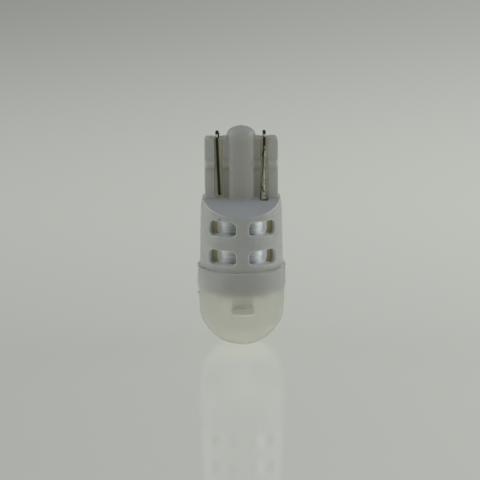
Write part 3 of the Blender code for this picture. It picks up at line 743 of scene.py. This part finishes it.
def addRightWire(material):
    form = wireForm
    node = "contact_wire_right"
    hole = grooveOffset
    size = form["radius"]
    points, legY = hairpin(node, hole, hole, hole)
    kinkZ = level["bladeEnd"] - form["kinkFromEnd"]
    top = kinkZ - form["kinkReach"]
    points += [
        (hole, legY, kinkZ + form["kinkReach"], size),
        (hole - form["kink"], legY - form["kinkOut"], kinkZ, size * form["kinkSwell"]),
        (hole, legY, top, size * form["belowKinkSwell"]),
    ]
    foot = level["crest"] - form["footDrop"]
    for i in range(1, 7):
        share = i / 6
        swollen = size + (form["solder"] - size) * share**2
        x = hole - form["legShift"] * share
        points.append((x, legY - (swollen - size), top + (foot - top) * share, swollen))
    return finishPiece(tube("wire_right", points, form["rightDents"]), material, "tinned_wire", node)


# White moulding: pale and slightly cloudy; olive painted shade in the windows' sides, lighter olive painted
# light along the wire grooves
whiteLook = {
    "pale": (0.72, 0.72, 0.69),
    "cloud": (0.64, 0.65, 0.65),
    # painted light: the upward slope's bluer tone, from the cool light above
    "slope": (0.685, 0.712, 0.74),
    # painted highlight along the shoulder's crease
    "creaseHighlight": (0.92, 0.94, 0.92),
    # painted highlight on the windows' rims and beside the right-hand groove
    "rim": (0.95, 0.97, 0.96),
    # painted light in the window openings
    "sill": (0.95, 0.96, 0.95),
    # painted shade: olive-brown in the windows' side walls, darkest further out
    "deep": (0.43, 0.39, 0.21),
    "deepestShade": (0.235, 0.197, 0.065),
    "bladeEndLight": (0.77, 0.76, 0.70),
    "grooveLight": (0.82, 0.77, 0.45),
    # painted shade under the ridge
    "underRidgeShade": (0.38, 0.33, 0.13),
    # painted light on upward faces: the ridge's top and the blade's end
    "top": (0.85, 0.85, 0.82),
    "shaded": (0.36, 0.34, 0.265),
    "pillarHeadLight": (0.76, 0.755, 0.73),
    "pillarFrontShade": (0.64, 0.62, 0.585),
    "pillarSideLight": (0.76, 0.75, 0.71),
    # painted shade at the sleeve's foot
    "foot": (0.56, 0.56, 0.55),
    "spigot": (0.92, 0.92, 0.91),
    # painted light: the tongues lighter and glowing, seen through the frosted cap
    "tongue": (0.88, 0.87, 0.80),
    "tongueGlow": (0.067, 0.067, 0.065),
    "speck": (0.10, 0.08, 0.05),
    "roughness": 0.42,
    "scatter": 0.25,
    "scatterTint": (1.0, 0.9, 0.7),
    "scatterDepth": 0.6,
    # where those tones lie: pairs run from none to full, threes are a band's ends and its
    # softness, and what ends in Cover is a share
    "cloudy": (0.35, 0.7),
    "slopeSkin": (-0.12, 0.06, 0.03),
    "creaseBand": (0.05, 0.18, 0.03),
    "creaseSpread": (1.0, 3.8),
    "clearOfBlade": (1.1, 1.3),
    "sleeveSoft": 0.15,
    "rimBand": (0.0, 0.12, 0.04),
    "rimCover": 0.54,
    "wallDepth": (-0.12, -0.6),
    "sideTurn": (7.0, 3.0),  # degrees before the window's far side
    "sideReach": (4.3, 4.9),
    "sideLean": 0.02,
    "sideCover": 0.95,
    "bladeFoot": 0.3,
    "bladeEnds": (3.5, 4.7),
    "besideWire": (0.62, 0.5),
    "grooveMouth": (1.04, 0.98),
    "beyondWire": (0.1, 0.4),
    "grooveRimLight": (0.25, 0.45),
    "grooveRimCover": 0.7,
    "offPillar": (1.45, 1.6),
    "offFace": (1.02, 1.08),
    "underRidge": (0.05, 0.6),
    "underRidgeSoft": 0.3,
    "overRidge": (0.95, 1.45),
    "overRidgeSoft": 0.15,
    "overRidgeCover": 0.8,
    "besidePillar": (1.6, 2.4),
    "underRidgeShadeSoft": 0.15,
    "shadeSoft": 0.12,
    "shadeFront": (1.5, 1.35),
    "shadeLength": (0.4, 1.0),  # below the blade's end, and above the crest
    "topSkin": (-0.12, -0.04),
    "topReach": (1.9, 2.0),
    "headRise": (0.1, 0.7),
    "headReach": (2.0, 1.8),
    "shaftFade": 0.6,
    "shaftFront": (1.12, 1.25),
    "frontReach": (1.5, 1.2),
    "sideBand": (1.1, 1.5, 0.12),
    "footFade": 0.8,
    "spigotFade": 0.1,
    "tongueFade": 0.3,
    "stemDepth": (0.42, 0.25),
    "specks": (((-3.71, -3.78, 18.25), 0.07, 0.05), ((-2.93, -4.42, 17.74), 0.12, 0.06)),
    "speckCover": 0.7,
}


def atLeastZero(value):
    return value.maths("MAXIMUM", value, 0.0)


def fromAxis(x, y):
    return (x * x + y * y) ** 0.5


def fromWindow(x, y, z):  # how far outside the nearest window's rounded edge, and the turn round the sleeve
    form = housingForm
    middle = math.radians(form["windowStart"] + form["windowSweep"] / 2)
    halfWidth = math.radians(form["windowSweep"] / 2) * radius["sleeveTop"] - form["windowCorner"]
    halfHeight = form["windowHeight"] / 2 - form["windowCorner"]
    step = (form["windowHeight"] + form["windowBar"]) / 2
    turn = x.maths("ARCTAN2", abs(x), abs(y))
    across = atLeastZero(abs(turn - middle) * radius["sleeveTop"] - halfWidth)
    up = atLeastZero(abs(abs(z - (level["upperWindow"] - step)) - step) - halfHeight)
    return (across * across + up * up) ** 0.5 - form["windowCorner"], turn


def paintShoulder(colour, x, y, z):
    look = whiteLook
    rate = math.tan(math.radians(housingForm["slope"]))
    underSlope = level["crest"] + housingForm["bladeThickness"] / 2 * rate - abs(y) * rate - z
    offBlade = rise(abs(y), *look["clearOfBlade"])
    # painted light: a bluer tone on the upward slope, from the cool light above
    slopeLightMask = band(underSlope, *look["slopeSkin"]) * offBlade
    colour = mixed(slopeLightMask, colour, look["slope"])
    # painted highlight along the crease, stronger towards the sides
    creaseHighlight = band(underSlope, *look["creaseBand"]) * offBlade
    return mixed(creaseHighlight * (0.2 + 0.52 * rise(abs(x), *look["creaseSpread"])), colour, look["creaseHighlight"])


def paintWindows(colour, x, y, z):
    look = whiteLook
    outside, turn = fromWindow(x, y, z)
    onSleeve = rise(z, level["sleeveTop"], level["sleeveTop"] - look["sleeveSoft"])
    onSleeve = onSleeve * rise(z, level["sleeveFoot"], level["sleeveFoot"] + look["sleeveSoft"])
    # painted highlight round each window's rounded edge
    rim = band(outside, *look["rimBand"]) * onSleeve
    colour = mixed(rim * look["rimCover"], colour, look["rim"])
    reach = fromAxis(x, y)
    inDepth = rise(reach, *past(radius["sleeveTop"], look["wallDepth"])) * onSleeve
    farSide = housingForm["windowStart"] + housingForm["windowSweep"]
    onSide = rise(turn, *[math.radians(farSide - before) for before in look["sideTurn"]])
    # painted light on the window openings' walls, their far sides excepted
    colour = mixed(inDepth * (1 - onSide), colour, look["sill"])
    # painted shade on the windows' far side walls, olive-brown, darker further out
    sideWallShade = mixed(rise(reach + look["sideLean"] * x, *look["sideReach"]), look["deep"], look["deepestShade"])
    return mixed(inDepth * onSide * look["sideCover"], colour, sideWallShade)


def paintBlade(colour, place, x, y, z, onBlade, clouds):
    look = whiteLook
    # painted light: the blade's outer ends lighter, lit from the sides
    colour = mixed(rise(abs(x), *look["bladeEnds"]) * onBlade, colour, look["bladeEndLight"])
    # painted light: a lighter yellowish tone in the grooves beside the wires, against their own shade
    inGroove = rise(abs(abs(x) - grooveOffset), *look["besideWire"]) * rise(abs(y), *look["grooveMouth"])
    inGroove = inGroove * onBlade
    beyondWire = rise(abs(x), *past(grooveOffset, look["beyondWire"]))
    grooveLight = inGroove * (0.5 + 0.4 * grain(place, 1.2)) * (1 - 0.3 * beyondWire)
    colour = mixed(grooveLight, colour, look["grooveLight"])
    # painted light beyond the right-hand groove's outer edge
    grooveRimLight = rise(x, *past(grooveOffset, look["grooveRimLight"]))
    colour = mixed(grooveRimLight * inGroove * look["grooveRimCover"], colour, look["rim"])
    ridgeFoot = level["bladeEnd"] - housingForm["ridgeFromEnd"] - housingForm["ridgeHeight"]
    offPillar = rise(abs(x), *look["offPillar"]) * rise(abs(y), *look["offFace"])
    # painted shade under the ridge, deeper beside the pillar and varying with the cloud noise
    underRidge = band(z, *past(ridgeFoot, look["underRidge"]), look["underRidgeSoft"]) * offPillar
    inner = band(abs(x), *look["besidePillar"], look["underRidgeShadeSoft"])
    colour = mixed(underRidge * (0.2 + 0.4 * clouds + 0.5 * inner), colour, look["underRidgeShade"])
    # painted light on the ridge's upper face
    overRidge = band(z, *past(ridgeFoot, look["overRidge"]), look["overRidgeSoft"]) * offPillar
    return mixed(overRidge * look["overRidgeCover"], colour, look["top"])


def paintPillar(colour, x, y, z, onBlade):
    look = whiteLook
    end = level["bladeEnd"]
    right = rise(x, 0.0, 1.0)
    skinLow, skinHigh = past(end, look["topSkin"])
    onFace = rise(z, skinHigh, skinLow) * onBlade
    fromTop, fromCrest = look["shadeLength"]
    lower = rise(z, end - fromTop, level["crest"] + fromCrest)
    darkening = 0.32 + 0.18 * right + (0.43 - 0.14 * right) * lower
    beside = band(abs(x), *look["besidePillar"], look["shadeSoft"]) * rise(abs(y), *look["shadeFront"])
    colour = mixed(beside * onFace * darkening, colour, look["shaded"])
    # painted light on the blade's end face
    colour = mixed(rise(z, skinLow, skinHigh) * rise(abs(x), *look["topReach"]), colour, look["top"])
    # painted light on the pillar's head
    head = rise(z, *past(end, look["headRise"])) * rise(abs(x), *look["headReach"])
    colour = mixed(head, colour, look["pillarHeadLight"])
    # painted shade on the front of the pillar's shaft
    onShaft = rise(z, end + look["shaftFade"], end - look["shaftFade"]) * rise(abs(y), *look["shaftFront"])
    onShaft = onShaft * onBlade
    colour = mixed(onShaft * rise(abs(x), *look["frontReach"]), colour, look["pillarFrontShade"])
    # painted light on the shaft's sides, weaker on the right
    side = onShaft * band(abs(x), *look["sideBand"])
    return mixed(side * (0.6 - 0.25 * right), colour, look["pillarSideLight"])


def onTongue(z):
    rim = level["spigotRim"]
    return rise(z, rim, rim - whiteLook["tongueFade"])


def paintSpigot(colour, z):
    look = whiteLook
    foot = level["sleeveFoot"]
    # painted shade at the sleeve's foot, just above the skirt
    colour = mixed(rise(z, foot + look["footFade"], foot), colour, look["foot"])
    colour = mixed(rise(z, foot, foot - look["spigotFade"]), colour, look["spigot"])
    # painted light: the tongues lighter than the moulding
    return mixed(onTongue(z), colour, look["tongue"])


# painted glow on the tongues' stems, for the light that reaches them through the frosted cap
def behindCap(x, y, z):  # the tongues' stems, which light reaches through the frosted cap
    onStem = rise(fromAxis(x, y), *past(radius["capBore"], whiteLook["stemDepth"]))
    slotTop = slot["middle"] + slot["height"] / 2
    return onTongue(z) * onStem * (1.2 - 0.45 * rise(z, slotTop, level["ledge"]))


def whitePlastic():
    look = whiteLook
    material, place = startMaterial("white_moulding")
    x, y, z = axesOf(place)
    clouds = grain(place, 0.5, 3.0, 0.6)
    fine = grain(place, 14.0, 2.0)
    colour = mixed(rise(clouds, *look["cloudy"]), look["pale"], look["cloud"])
    colour = paintShoulder(colour, x, y, z)
    colour = paintWindows(colour, x, y, z)
    onBlade = rise(z, level["crest"], level["crest"] + look["bladeFoot"])
    colour = paintBlade(colour, place, x, y, z, onBlade, clouds)
    colour = paintPillar(colour, x, y, z, onBlade)
    colour = paintSpigot(colour, z)
    first, second = [spot(place, *speck) for speck in look["specks"]]
    colour = mixed((first + second) * look["speckCover"], colour, look["speck"])
    return finishMaterial(material, {
        "Base Color": colour,
        "Roughness": look["roughness"] - 0.12 * clouds + 0.1 * fine,
        "Normal": bumped(fine, 0.006, 0.6, bumped(clouds, 0.03, 0.3)),
        "IOR": 1.5,
        "Subsurface Weight": look["scatter"],
        "Subsurface Radius": look["scatterTint"],
        "Subsurface Scale": look["scatterDepth"] * mm,
        # painted glow on the tongues' stems behind the cap
        "Emission Color": mixed(behindCap(x, y, z), black, look["tongueGlow"]),
        "Emission Strength": 1.0,
    })


# Frosted moulding: lets light through, fine matt grain, faint flow marks; painted shade greyer over the
# spigot and in the dome's middle, painted light on the skirt's rim, a painted glow low on the dome
frostLook = {
    "clear": (0.931, 0.926, 0.89),
    "milky": (0.901, 0.896, 0.86),
    # painted shade in the dome's middle
    "middle": (0.895, 0.885, 0.85),
    # painted shade: greyer where the spigot stands behind the skirt
    "skirt": (0.857, 0.852, 0.847),
    # painted light on the skirt's upper edge
    "rim": (0.89, 0.89, 0.90),
    "topEdgeShade": (0.52, 0.52, 0.53),
    "gate": (0.50, 0.50, 0.46),
    "roughness": 0.60,
    "through": 0.94,
    # painted glow, strongest at the dome's bottom
    "glow": (0.030, 0.031, 0.027),
    "bending": 1.15,
    "flowStretch": (1.0, 1.0, 0.25),
    "milkiness": (0.3, 0.75),
    "middleShift": 0.8,
    "middleReach": (4.8, 2.0),
    "middleDrop": 2.0,
    "ledgeSoft": 0.2,
    "rimDepth": (-0.6, -0.1),
    "topEdgeDepth": (-0.16, -0.05),
    "topEdgeReach": (2.5, 4.5),
    "gateReach": 0.1,
    "gateSpot": (0.25, 0.08),
    "markCover": 0.8,
    "glowHeights": (4.5, 0.0),
}


def frostedPlastic():
    look = frostLook
    material, place = startMaterial("frosted_moulding")
    x, z = axesOf(place)[::2]
    flow = grain(stretched(place, look["flowStretch"]), 0.8, 3.0, 1.0)
    matt = grain(place, 22.0, 2.0)
    colour = mixed(rise(flow, *look["milkiness"]), look["clear"], look["milky"])
    # painted shade: the dome darker in its middle than at its sides
    middle = rise(abs(x + look["middleShift"]), *look["middleReach"])
    middle = middle * rise(z, level["capCentre"], level["capCentre"] - look["middleDrop"])
    colour = mixed(middle, colour, look["middle"])
    # painted shade: the skirt greyer, where the spigot stands behind it
    onSkirt = rise(z, level["ledge"] - look["ledgeSoft"], level["ledge"] + look["ledgeSoft"])
    colour = mixed(onSkirt, colour, look["skirt"])
    # painted light on the skirt's upper edge
    rim = rise(z, *past(level["skirtTop"], look["rimDepth"]))
    colour = mixed(rim, colour, look["rim"])
    # painted shade: a dark line along the skirt's top outer edge at the sides, also rougher there
    topEdgeShade = rise(z, *past(level["skirtTop"], look["topEdgeDepth"]))
    topEdgeShade = topEdgeShade * rise(abs(x), *look["topEdgeReach"])
    colour = mixed(topEdgeShade * look["markCover"], colour, look["topEdgeShade"])
    gateEnd = (-radius["cap"] - look["gateReach"], 0.0, level["flareFoot"] - capForm["gateRadius"])
    colour = mixed(spot(place, gateEnd, *look["gateSpot"]) * look["markCover"], colour, look["gate"])
    return finishMaterial(material, {
        "Base Color": colour,
        "Roughness": look["roughness"] + 0.12 * flow + 0.2 * topEdgeShade,
        "Normal": bumped(matt, 0.008, 0.6, bumped(flow, 0.03, 0.25)),
        "IOR": look["bending"],
        "Transmission Weight": look["through"],
        # painted glow low on the dome
        "Emission Color": mixed(rise(z, *look["glowHeights"]), black, look["glow"]),
        "Emission Strength": 1.0,
    })


# Turned aluminium: feed lines round the axis; painted reflections, duller in front of the blade's middle and
# bright at the sides, and a painted glow where the sides are lit
coreLook = {
    "brightReflection": (0.95, 0.97, 0.98),
    "dullReflection": (0.355, 0.385, 0.40),
    "dullestReflection": (0.22, 0.25, 0.265),
    # painted glow on the lit sides
    "shine": (0.182, 0.198, 0.214),
    "roughness": 0.30,
    "metal": 0.9,
    "lineStretch": (0.3, 0.3, 9.0),
    "lineContrast": (0.3, 0.7),
    "brightTurn": (0.25, 0.75),  # in radians from the front, as the next two
    "litRight": (0.28, 0.75),
    "litLeft": (-0.3, -0.8),
    "upperFade": (-2.5, -1.0),
}


def turnedAluminium():
    look = coreLook
    material, place = startMaterial("turned_aluminium")
    x, y, z = axesOf(place)
    lines = grain(stretched(place, look["lineStretch"]), 1.0, 4.0, 0.0)
    rings = {"Vector": place, "Scale": 1.4, "Distortion": 0.6}
    feed = place.node("ShaderNodeTexWave", {"bands_direction": "Z"}, rings, "Fac")
    smear = grain(place, 1.6, 3.0)
    turn = x.maths("ARCTAN2", x, abs(y))
    # painted reflections: bright at the sides, dull in front, duller by the upper window
    brightReflection = rise(abs(turn), *look["brightTurn"]) * 0.7 + 0.3 * rise(lines, *look["lineContrast"])
    upper = rise(z, *past(level["upperWindow"], look["upperFade"]))
    # painted glow where the sides are lit, stronger on the right
    lit = rise(turn, *look["litRight"]) * (1.4 + 0.3 * upper)
    lit = lit + rise(turn, *look["litLeft"]) * (0.66 - 0.1 * upper)
    dullReflection = mixed(upper, look["dullReflection"], look["dullestReflection"])
    return finishMaterial(material, {
        "Base Color": mixed(brightReflection, dullReflection, look["brightReflection"]),
        "Metallic": look["metal"],
        "Roughness": look["roughness"] + 0.18 * lines - 0.1 * smear,
        "Normal": bumped(lines, 0.02, 0.5, bumped(feed, 0.015, 0.5)),
        "Emission Color": mixed(lit * (0.75 + 0.25 * lines), black, look["shine"]),
        "Emission Strength": 1.0,
    })


# Tinned wire: painted near black for the dark room it reflects, with a painted glint on the bend and solder
# down the right leg, lit on its right
wireLook = {
    "tinHighlight": (0.95, 0.92, 0.76),
    "solder": (0.62, 0.60, 0.51),
    # painted reflection of the dark room
    "darkReflection": (0.020, 0.020, 0.027),
    "flux": (0.30, 0.26, 0.15),
    "roughness": 0.30,
    "metal": 0.45,
    "drawnStretch": (6.0, 6.0, 0.8),
    "thickensBelow": 1.3,
    "solderSoft": 0.3,
    "solderEdge": (-0.09, 0.01),
    "solderSpread": 0.27,
    "tinLine": (0.07, 0.16, 0.04),
    "darkPatchSpots": (0.55, 0.61),
    "darkPatchCover": 0.8,
    "fluxSpots": (0.5, 0.65),
    "fluxCover": 0.3,
    "glintFront": -1.15,
    "glintSpot": (0.2, 0.1),
}


def tinnedWire(name, legX, glintZ, solderTop, shift=0.0):
    look = wireLook
    material, place = startMaterial(name)
    x, z = axesOf(place)[::2]
    patches = grain(place, 2.6, 4.0, 0.8)
    drawn = grain(stretched(place, look["drawnStretch"]), 1.0, 2.0)
    down = rise(z, solderTop - look["thickensBelow"], level["crest"] - wireForm["footDrop"])
    across = x - legX + shift * down + 0.1 * (patches - 0.5)
    soldered = rise(z, solderTop + look["solderSoft"], solderTop - look["solderSoft"])
    # real solder, coloured only on its right-hand side as painted sheen; the left stays dark
    solder = soldered * rise(across + look["solderSpread"] * down, *look["solderEdge"])
    colour = mixed(solder, look["darkReflection"], look["solder"])
    # painted highlight line along the solder, right of the leg's middle
    colour = mixed(soldered * band(across, *look["tinLine"]), colour, look["tinHighlight"])
    # patches of the painted dark over the solder
    darkPatches = soldered * rise(grain(place, 1.7, 2.0), *look["darkPatchSpots"])
    colour = mixed(darkPatches * look["darkPatchCover"], colour, look["darkReflection"])
    flux = soldered * rise(patches, *look["fluxSpots"])
    colour = mixed(flux * look["fluxCover"], colour, look["flux"])
    glint = spot(place, (legX, look["glintFront"], glintZ), *look["glintSpot"])
    return finishMaterial(material, {
        "Base Color": mixed(glint, colour, look["tinHighlight"]),
        "Metallic": look["metal"],
        "Roughness": look["roughness"] + 0.25 * patches,
        "Normal": bumped(patches, 0.05, 0.5, bumped(drawn, 0.01, 0.5)),
    })


# Inner pieces: they stay as the frame has them and get finishes of their own
innerLook = {
    "pad": ((0.36, 0.37, 0.39), (0.52, 0.53, 0.54)),
    "boardMask": ((0.82, 0.83, 0.80), (0.88, 0.88, 0.86)),
    "boardEdge": (0.62, 0.63, 0.64),
    "joint": (0.72, 0.70, 0.66),
    "chipFrame": ((0.84, 0.84, 0.82), (0.90, 0.90, 0.88)),
    "chipGel": ((0.80, 0.66, 0.14), (0.86, 0.76, 0.26)),
    "gelInset": (-0.15, -0.2),
    "driverMask": ((0.03, 0.20, 0.08), (0.06, 0.30, 0.13)),
    "driverShade": (0.02, 0.14, 0.06),
    "driverEdge": (0.52, 0.50, 0.34),
}


def greyPad():
    material, place = startMaterial("thermal_pad_finish")
    grit = grain(place, 18.0, 3.0)
    sockets = {"Vector": place, "Scale": 2.4}
    weave = place.node("ShaderNodeTexWave", {"bands_direction": "DIAGONAL"}, sockets, "Fac")
    return finishMaterial(material, {
        "Base Color": mixed(grit, *innerLook["pad"]),
        "Roughness": 0.7 + 0.2 * grit,
        "Normal": bumped(weave, 0.02, 0.5, bumped(grit, 0.02, 0.5)),
    })


def whiteBoard():
    look = innerLook
    material, place = startMaterial("led_board_finish")
    x, y = axesOf(place)[:2]
    low, high = corners("led_board")
    fine = grain(place, 9.0, 3.0)
    edge = rise(fromAxis(x, y), high.x - 0.06, high.x - 0.02)
    at = coreForm["leadOffset"]
    joint = spot(place, (at, 0.0, low.z), 0.5, 0.04) + spot(place, (-at, 0.0, low.z), 0.5, 0.04)
    colour = mixed(joint, mixed(fine, *look["boardMask"]), look["joint"])
    return finishMaterial(material, {
        "Base Color": mixed(edge, colour, look["boardEdge"]),
        "Metallic": rise(edge + joint, 0.4, 0.6),
        "Roughness": 0.34 + 0.2 * fine,
        "Normal": bumped(fine, 0.01, 0.5),
    })


def phosphor(number):
    look = innerLook
    material, place = startMaterial(f"led_chip_finish_{number}")
    x, y, z = axesOf(place)
    low, high = corners(f"led_chip_{number}")
    middle = (low + high) / 2
    size = (high - low) / 2
    fine = grain(place, 16.0, 3.0)
    inside = rise(abs(x - middle.x), *past(size.x, look["gelInset"]))
    inside = inside * rise(abs(y - middle.y), *past(size.y, look["gelInset"]))
    face = inside * rise(z, low.z + 0.16, low.z + 0.13)
    return finishMaterial(material, {
        "Base Color": mixed(face, mixed(fine, *look["chipFrame"]), mixed(fine, *look["chipGel"])),
        "Roughness": 0.5 - 0.25 * face + 0.1 * fine,
        "Normal": bumped(fine, 0.01, 0.5),
    })


def greenBoard():
    look = innerLook
    material, place = startMaterial("driver_board_finish")
    x, z = axesOf(place)[::2]
    low, high = corners("driver_board")
    middle = (low + high) / 2
    half = (high - low) / 2
    fine = grain(place, 12.0, 3.0)
    flat = place.node("ShaderNodeCombineXYZ", None, {0: x, 1: z})
    sockets = {"Vector": flat, "Scale": 1.1, "Mortar Size": 0.06}
    tracks = place.node("ShaderNodeTexBrick", {"offset": 0.35, "squash": 1.0}, sockets, "Fac")
    edge = rise(abs(x - middle.x), half.x - 0.05, half.x - 0.02)
    colour = mixed(fine * 0.4, mixed(tracks, *look["driverMask"]), look["driverShade"])
    return finishMaterial(material, {
        "Base Color": mixed(edge, colour, look["driverEdge"]),
        "Roughness": 0.3 + 0.3 * edge + 0.1 * fine,
        "Normal": bumped(tracks, 0.02, 0.6, bumped(fine, 0.008, 0.4)),
    })


# Small parts with metal pins or ends: reach is how far the metal comes in
leggedLook = {
    "body": ((0.025, 0.025, 0.028), (0.05, 0.05, 0.05)),
    "metal": (0.62, 0.62, 0.60),
    "reach": (-0.46, -0.44),
    "roughness": 0.55,
    "smoother": 0.25,
    "depth": 0.012,
}
chipLook = {
    "body": ((0.04, 0.04, 0.045), (0.05, 0.05, 0.05625)),
    "metal": (0.66, 0.65, 0.62),
    "reach": (-0.42, -0.38),
    "roughness": 0.45,
    "smoother": 0.15,
    "depth": 0.01,
}
smallParts = {
    "bridge_rectifier": leggedLook,
    "driver_chip": leggedLook,
    "load_resistor_1": chipLook,
    "load_resistor_2": chipLook,
    "sense_resistor": chipLook,
    "capacitor": {**chipLook, "body": ((0.50, 0.40, 0.27), (0.625, 0.50, 0.3375))},
}


def smallPart(name, look):
    material, place = startMaterial(f"{name}_finish")
    z = axesOf(place)[2]
    low, high = corners(name)
    half = (high.z - low.z) / 2
    fine = grain(place, 20.0, 3.0)
    ends = rise(abs(z - (low.z + high.z) / 2), *past(half, look["reach"]))
    return finishMaterial(material, {
        "Base Color": mixed(ends, mixed(fine, *look["body"]), look["metal"]),
        "Metallic": ends,
        "Roughness": look["roughness"] - look["smoother"] * ends + 0.15 * fine,
        "Normal": bumped(fine, look["depth"], 0.6),
    })


def dress(node, material):
    mesh = nodes[node].data
    mesh.materials.clear()
    mesh.materials.append(material)


def dressInnerPieces():
    dress("thermal_pad", greyPad())
    dress("led_board", whiteBoard())
    for number in range(1, 5):
        dress(f"led_chip_{number}", phosphor(number))
    dress("driver_board", greenBoard())
    for name, look in smallParts.items():
        dress(name, smallPart(name, look))
    lead = tinnedWire("lead_finish", 0.0, level["bladeEnd"], level["coreFoot"] - 1.0)
    dress("led_lead_positive", lead)
    dress("led_lead_negative", lead)
    print("inner pieces dressed")


def addContactWires():
    form = wireForm
    glint = level["bladeEnd"] + form["glintRise"]
    solderTop = level["bladeEnd"] - form["solderFromEnd"]
    left = -grooveOffset - form["lean"]
    addLeftWire(tinnedWire("left_wire_finish", left, glint, level["coreFoot"]))
    addRightWire(tinnedWire("right_wire_finish", grooveOffset, glint, solderTop, form["legShift"]))


dressInnerPieces()
addHousing(whitePlastic())
addCap(frostedPlastic())
addCore(turnedAluminium())
addContactWires()

# Stage: a pale glossy sheet that glows softly, as a light table does, under soft boxes in a dim room
stageLook = {
    "size": 4000.0,
    "glow": (0.455, 0.475, 0.435),
    "lightPoolGlow": (0.505, 0.515, 0.445),
    "glowStrength": 0.82,
    "sheet": (0.20, 0.205, 0.195),
    "roughness": 0.07,
    "room": (0.115, 0.12, 0.115),
    "brighterBehind": 0.095,
    "dimmerFarOff": 0.42,
    "brighterRight": 0.336,
    "share": 0.975,
    "behind": (-20.0, 70.0),
    "farOff": (70.0, 300.0),
    "sides": (-120.0, 120.0),
    "lightPoolSpot": ((0.0, -5.0, 0.0), 2.0, 4.0),
    "gloss": 1.49,
    "aimHeight": 15.0,
}


def addFloor():
    look = stageLook
    bm = bmesh.new()
    bmesh.ops.create_grid(bm, x_segments=2, y_segments=2, size=look["size"] / 2)
    floor = newObject("floor", bm)
    floor.data.transform(Matrix.Scale(mm, 4))
    material, place = startMaterial("floor_sheet")
    x, y = axesOf(place)[:2]
    share = look["share"] + look["brighterBehind"] * rise(y, *look["behind"])
    share = share - look["dimmerFarOff"] * rise(y, *look["farOff"])
    share = share + look["brighterRight"] * (rise(x, *look["sides"]) - 0.5)
    # painted pool of warmer light on the sheet under the dome
    underDome = mixed(spot(place, *look["lightPoolSpot"]), look["glow"], look["lightPoolGlow"])
    glow = share.node("ShaderNodeVectorMath", {"operation": "SCALE"}, {0: underDome, "Scale": share})
    finishMaterial(material, {
        "Base Color": look["sheet"],
        "Roughness": look["roughness"],
        "IOR": look["gloss"],
        "Emission Color": glow,
        "Emission Strength": look["glowStrength"],
    })
    floor.data.materials.append(material)


# Soft boxes: where each stands in millimetres, its size and its light
softBoxes = {
    "soft_box_right": {"at": (330.0, 40.0, 150.0), "size": 240.0, "power": 0.30, "colour": (0.94, 0.97, 1.0)},
    "soft_box_left": {"at": (-330.0, 60.0, 150.0), "size": 240.0, "power": 0.28, "colour": (0.97, 0.98, 1.0)},
    "soft_box_top": {"at": (0.0, -60.0, 420.0), "size": 260.0, "power": 0.14, "colour": (0.93, 0.96, 1.0)},
}


def addLights():
    for name, box in softBoxes.items():
        data = bpy.data.lights.new(name, "AREA")
        data.shape = "SQUARE"
        data.size = box["size"] * mm
        data.energy = box["power"]
        data.color = box["colour"]
        light = bpy.data.objects.new(name, data)
        bpy.context.scene.collection.objects.link(light)
        light.location = Vector(box["at"]) * mm
        aim = Vector((0.0, 0.0, stageLook["aimHeight"] * mm)) - light.location
        light.rotation_mode = "QUATERNION"
        light.rotation_quaternion = aim.to_track_quat("-Z", "Y")
    world = bpy.data.worlds.new("room")
    world.use_nodes = True
    world.node_tree.nodes["Background"].inputs["Color"].default_value = (*stageLook["room"], 1.0)
    bpy.context.scene.world = world
    bpy.context.scene.view_settings.view_transform = "Standard"


addFloor()
addLights()
print("stage set")
